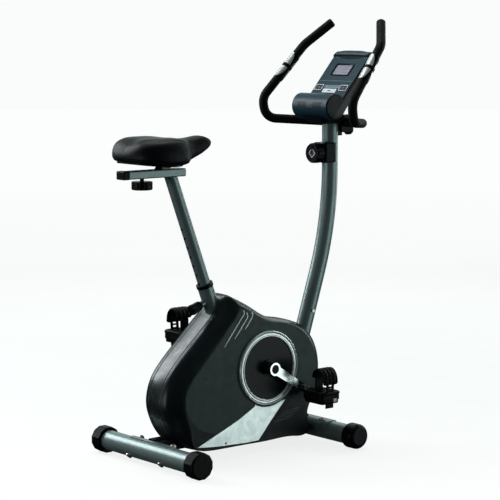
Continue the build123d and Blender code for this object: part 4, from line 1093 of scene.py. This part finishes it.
add(frame_ring("dial_diamond", diamond(15.5), diamond(12.6), dial, -0.4, 0.6, M["pale"]), "tension_knob")
add(frame_ring("dial_diamond_inner", diamond(7.5), diamond(5.6), dial, -0.4, 0.6, M["pale_blue"]), "tension_knob")
rim_o = [(28.6 * math.cos(math.pi * k / 32), 28.6 * math.sin(math.pi * k / 32)) for k in range(64)]
rim_i = [(25.4 * math.cos(math.pi * k / 32), 25.4 * math.sin(math.pi * k / 32)) for k in range(64)]
add(frame_ring("dial_rim", rim_o, rim_i, dial, -0.4, 1.1, M["plastic"]), "tension_knob")

# ---------------------------------------------------------------- stepped silver ring round each hub
RING = [(95.9, 77.3), (95.9, 82.4), (96.5, 84.3), (97.8, 85.3), (99.6, 85.5), (101.0, 84.7), (101.8, 83.9), (103.5, 83.8), (106.3, 84.0), (107.1, 83.2),
        (107.6, 82.0), (108.5, 82.0), (109.0, 83.6), (110.0, 85.6), (111.4, 86.3), (112.8, 85.7), (113.8, 84.0), (114.2, 81.5), (114.2, 77.3)]
for sg, nm in ((-1, "right"), (1, "left")):
    verts, faces = [], []
    N = 160
    for j in range(N):
        a = 2 * math.pi * j / N
        for r, y in RING:
            verts.append(P(CRANK[0] + r * math.cos(a), sg * y, CRANK[1] + r * math.sin(a)))
    m = len(RING)
    for j in range(N):
        l = (j + 1) % N
        for k in range(m - 1):
            faces.append((j * m + k, j * m + k + 1, l * m + k + 1, l * m + k))
        faces.append((j * m + m - 1, j * m, l * m, l * m + m - 1))
    o = make("hub_ring_" + nm, verts, faces, M["silver"], sharp=45)
    add(o, "frame")
    groove = sweep("ring_groove_" + nm, [P(CRANK[0] + 108.05 * math.cos(2 * math.pi * j / N), sg * 82.3, CRANK[1] + 108.05 * math.sin(2 * math.pi * j / N)) for j in range(N)], 0.00075, M["gap"], 8, closed=True)
    add(groove, "frame")
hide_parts("side_rings")

# ---------------------------------------------------------------- fluted pull knob on the seat tube
LEAN = math.radians(20.7)


def fluted(name, origin, axis, profile, lobes, depth, mat, sides=96):
    axis = Vector(axis).normalized()
    u = axis.orthogonal().normalized()
    v = axis.cross(u)
    verts, faces = [], []
    for s, r, k in profile:
        for j in range(sides):
            th = 2 * math.pi * j / sides
            rr = r - depth * k * (0.5 - 0.5 * math.cos(lobes * th)) ** 2
            verts.append(origin + axis * (s / 1000) + (u * math.cos(th) + v * math.sin(th)) * (rr / 1000))
    for i in range(len(profile) - 1):
        for j in range(sides):
            l = (j + 1) % sides
            faces.append((i * sides + j, i * sides + l, (i + 1) * sides + l, (i + 1) * sides + j))
    faces.append(tuple(range(sides)))
    faces.append(tuple((len(profile) - 1) * sides + j for j in range(sides)))
    return make(name, verts, faces, mat, sharp=50)


kd = Vector((-math.cos(LEAN), 0, -math.sin(LEAN)))
ko = P(207.5 + 44 * math.sin(LEAN), 0, 512.5 - 44 * math.cos(LEAN)) + kd * 0.038
o = fluted("pin_pull", ko, kd, [(-1, 9, 0), (0, 11.5, 0), (1.5, 14, .3), (6, 15.2, .8), (14, 15.0, 1), (22, 15.6, 1), (30, 17.0, 1), (34.5, 17.2, 1), (37, 16.0, .8), (38, 13.5, .4), (37.2, 9, 0), (36.6, 3, 0)], 6, 3.2, M["plastic"])
add(o, "pin_knob")
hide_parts("seat_pin_knob")

# ---------------------------------------------------------------- floor, light, camera
fm = Tree("studio_floor")
fd = fm.ramp(fm.noise(3, 3), 0.3, 0.7)
fm.set(Base_Color=fm.mix(fd, (0.155, 0.157, 0.156, 1), (0.165, 0.167, 0.166, 1)), Roughness=fm.ramp(fm.noise(8, 3), 0.3, 0.7, 0.75, 0.85))
fm.bsdf.inputs["Specular IOR Level"].default_value = 0.1
fm.bsdf.inputs["Emission Color"].default_value = (0.9825, 1.0, 0.9918, 1)
fx, fy, fz = fm.xyz()
ahead = fm.math("ADD", fm.math("MULTIPLY", fx, 0.6384), fm.math("MULTIPLY", fy, 0.7697))
near = fm.ramp(ahead, -0.6, 0.7, 0.872, 0.782, smooth=False)
mid = fm.ramp(ahead, 1.7, 3.2, 0.0, 0.082, smooth=False)
back = fm.ramp(ahead, 3.2, 4.8, 0.0, 0.060, smooth=False)
edge = fm.ramp(ahead, 4.8, 9.0, 0.0, 0.043, smooth=False)
far = fm.math("ADD", fm.math("ADD", near, mid), fm.math("ADD", back, edge))
fm.link(far, fm.bsdf.inputs["Emission Strength"])
verts, faces = [], []
N = 72
rads = [0.0, 0.5, 1.0, 2.0, 4.0, 8.0, 14.0, 22.0]
for r in rads[1:]:
    for k in range(N):
        a = 2 * math.pi * k / N
        verts.append((r * math.cos(a), r * math.sin(a), -0.0004))
verts.append((0, 0, -0.0004))
for j in range(len(rads) - 2):
    for k in range(N):
        l = (k + 1) % N
        faces.append((j * N + k, j * N + l, (j + 1) * N + l, (j + 1) * N + k))
for k in range(N):
    faces.append((len(verts) - 1, k, (k + 1) % N))
floor = make("floor", verts, faces, fm.mat, sharp=0)
floor.visible_glossy = False
floor.visible_diffuse = False
floor.visible_shadow = False

world = bpy.data.worlds.new("studio")
scene.world = world
world.use_nodes = True
wt = world.node_tree
wt.nodes.clear()
wo = wt.nodes.new("ShaderNodeOutputWorld")
lp = wt.nodes.new("ShaderNodeLightPath")
white = wt.nodes.new("ShaderNodeBackground")
white.inputs[0].default_value = (0.955, 0.972, 0.964, 1)
white.inputs[1].default_value = 1.0
dim = wt.nodes.new("ShaderNodeBackground")
tc = wt.nodes.new("ShaderNodeTexCoord")
sep = wt.nodes.new("ShaderNodeSeparateXYZ")
mr = wt.nodes.new("ShaderNodeMapRange")
mr.inputs["From Min"].default_value = -0.3
mr.inputs["From Max"].default_value = 0.9
mr.inputs["To Min"].default_value = 0.02
mr.inputs["To Max"].default_value = 0.16
wt.links.new(tc.outputs["Generated"], sep.inputs[0])
wt.links.new(sep.outputs[2], mr.inputs["Value"])
dim.inputs[0].default_value = (0.80, 0.95, 1.0, 1)
wt.links.new(mr.outputs["Result"], dim.inputs[1])
ms = wt.nodes.new("ShaderNodeMixShader")
wt.links.new(lp.outputs["Is Camera Ray"], ms.inputs[0])
wt.links.new(dim.outputs[0], ms.inputs[1])
wt.links.new(white.outputs[0], ms.inputs[2])
wt.links.new(ms.outputs[0], wo.inputs["Surface"])

AZ = math.radians(39.675)
FWD = Vector((math.sin(AZ), math.cos(AZ), 0))
RIGHT = Vector((math.cos(AZ), -math.sin(AZ), 0))
UP = Vector((0, 0, 1))
CENTRE = Vector((0, 0, 0.55))


def softbox(name, right, forward, up, size, size_y, power, color=(1, 1, 1), aim=None):
    d = bpy.data.lights.new(name, "AREA")
    d.shape = "RECTANGLE"
    d.size, d.size_y = size, size_y
    d.energy = power
    d.color = color
    o = bpy.data.objects.new(name, d)
    scene.collection.objects.link(o)
    o.location = CENTRE + RIGHT * right + FWD * forward + UP * up
    o.rotation_euler = ((aim or CENTRE) - o.location).to_track_quat("-Z", "Y").to_euler()
    o.visible_camera = False
    return o


softbox("key_left", -2.6, 1.3, 1.6, 1.4, 2.2, 85, (0.95, 1.0, 1.0))
softbox("rim_right", 2.5, 2.0, 1.0, 0.9, 2.6, 34, (0.93, 1.0, 1.0))
softbox("top", -0.2, 0.9, 3.0, 2.0, 1.6, 50, (0.97, 1.0, 1.0))
softbox("card_side", 3.1, -0.65, -0.2, 1.9, 2.2, 23, (0.84, 1.0, 0.98))
softbox("back_glow", 0.2, 3.4, 1.3, 3.0, 1.4, 19, (0.86, 1.0, 1.0))
softbox("low_left", -2.4, -1.5, -0.3, 1.8, 1.0, 17, (0.93, 1.0, 0.99))

cam = bpy.data.cameras.new("camera")
co = bpy.data.objects.new("camera", cam)
scene.collection.objects.link(co)
cam.sensor_width = 36
cam.sensor_fit = "HORIZONTAL"
cam.lens = 136.66
cam.clip_end = 60
co.location = (-3.640176, -4.4114, 1.3084)
co.rotation_euler = (math.radians(90 - 6.955), 0, -AZ)
scene.camera = co

scene.view_settings.view_transform = "Standard"
scene.view_settings.look = "None"
scene.view_settings.exposure = 0
scene.view_settings.gamma = 1
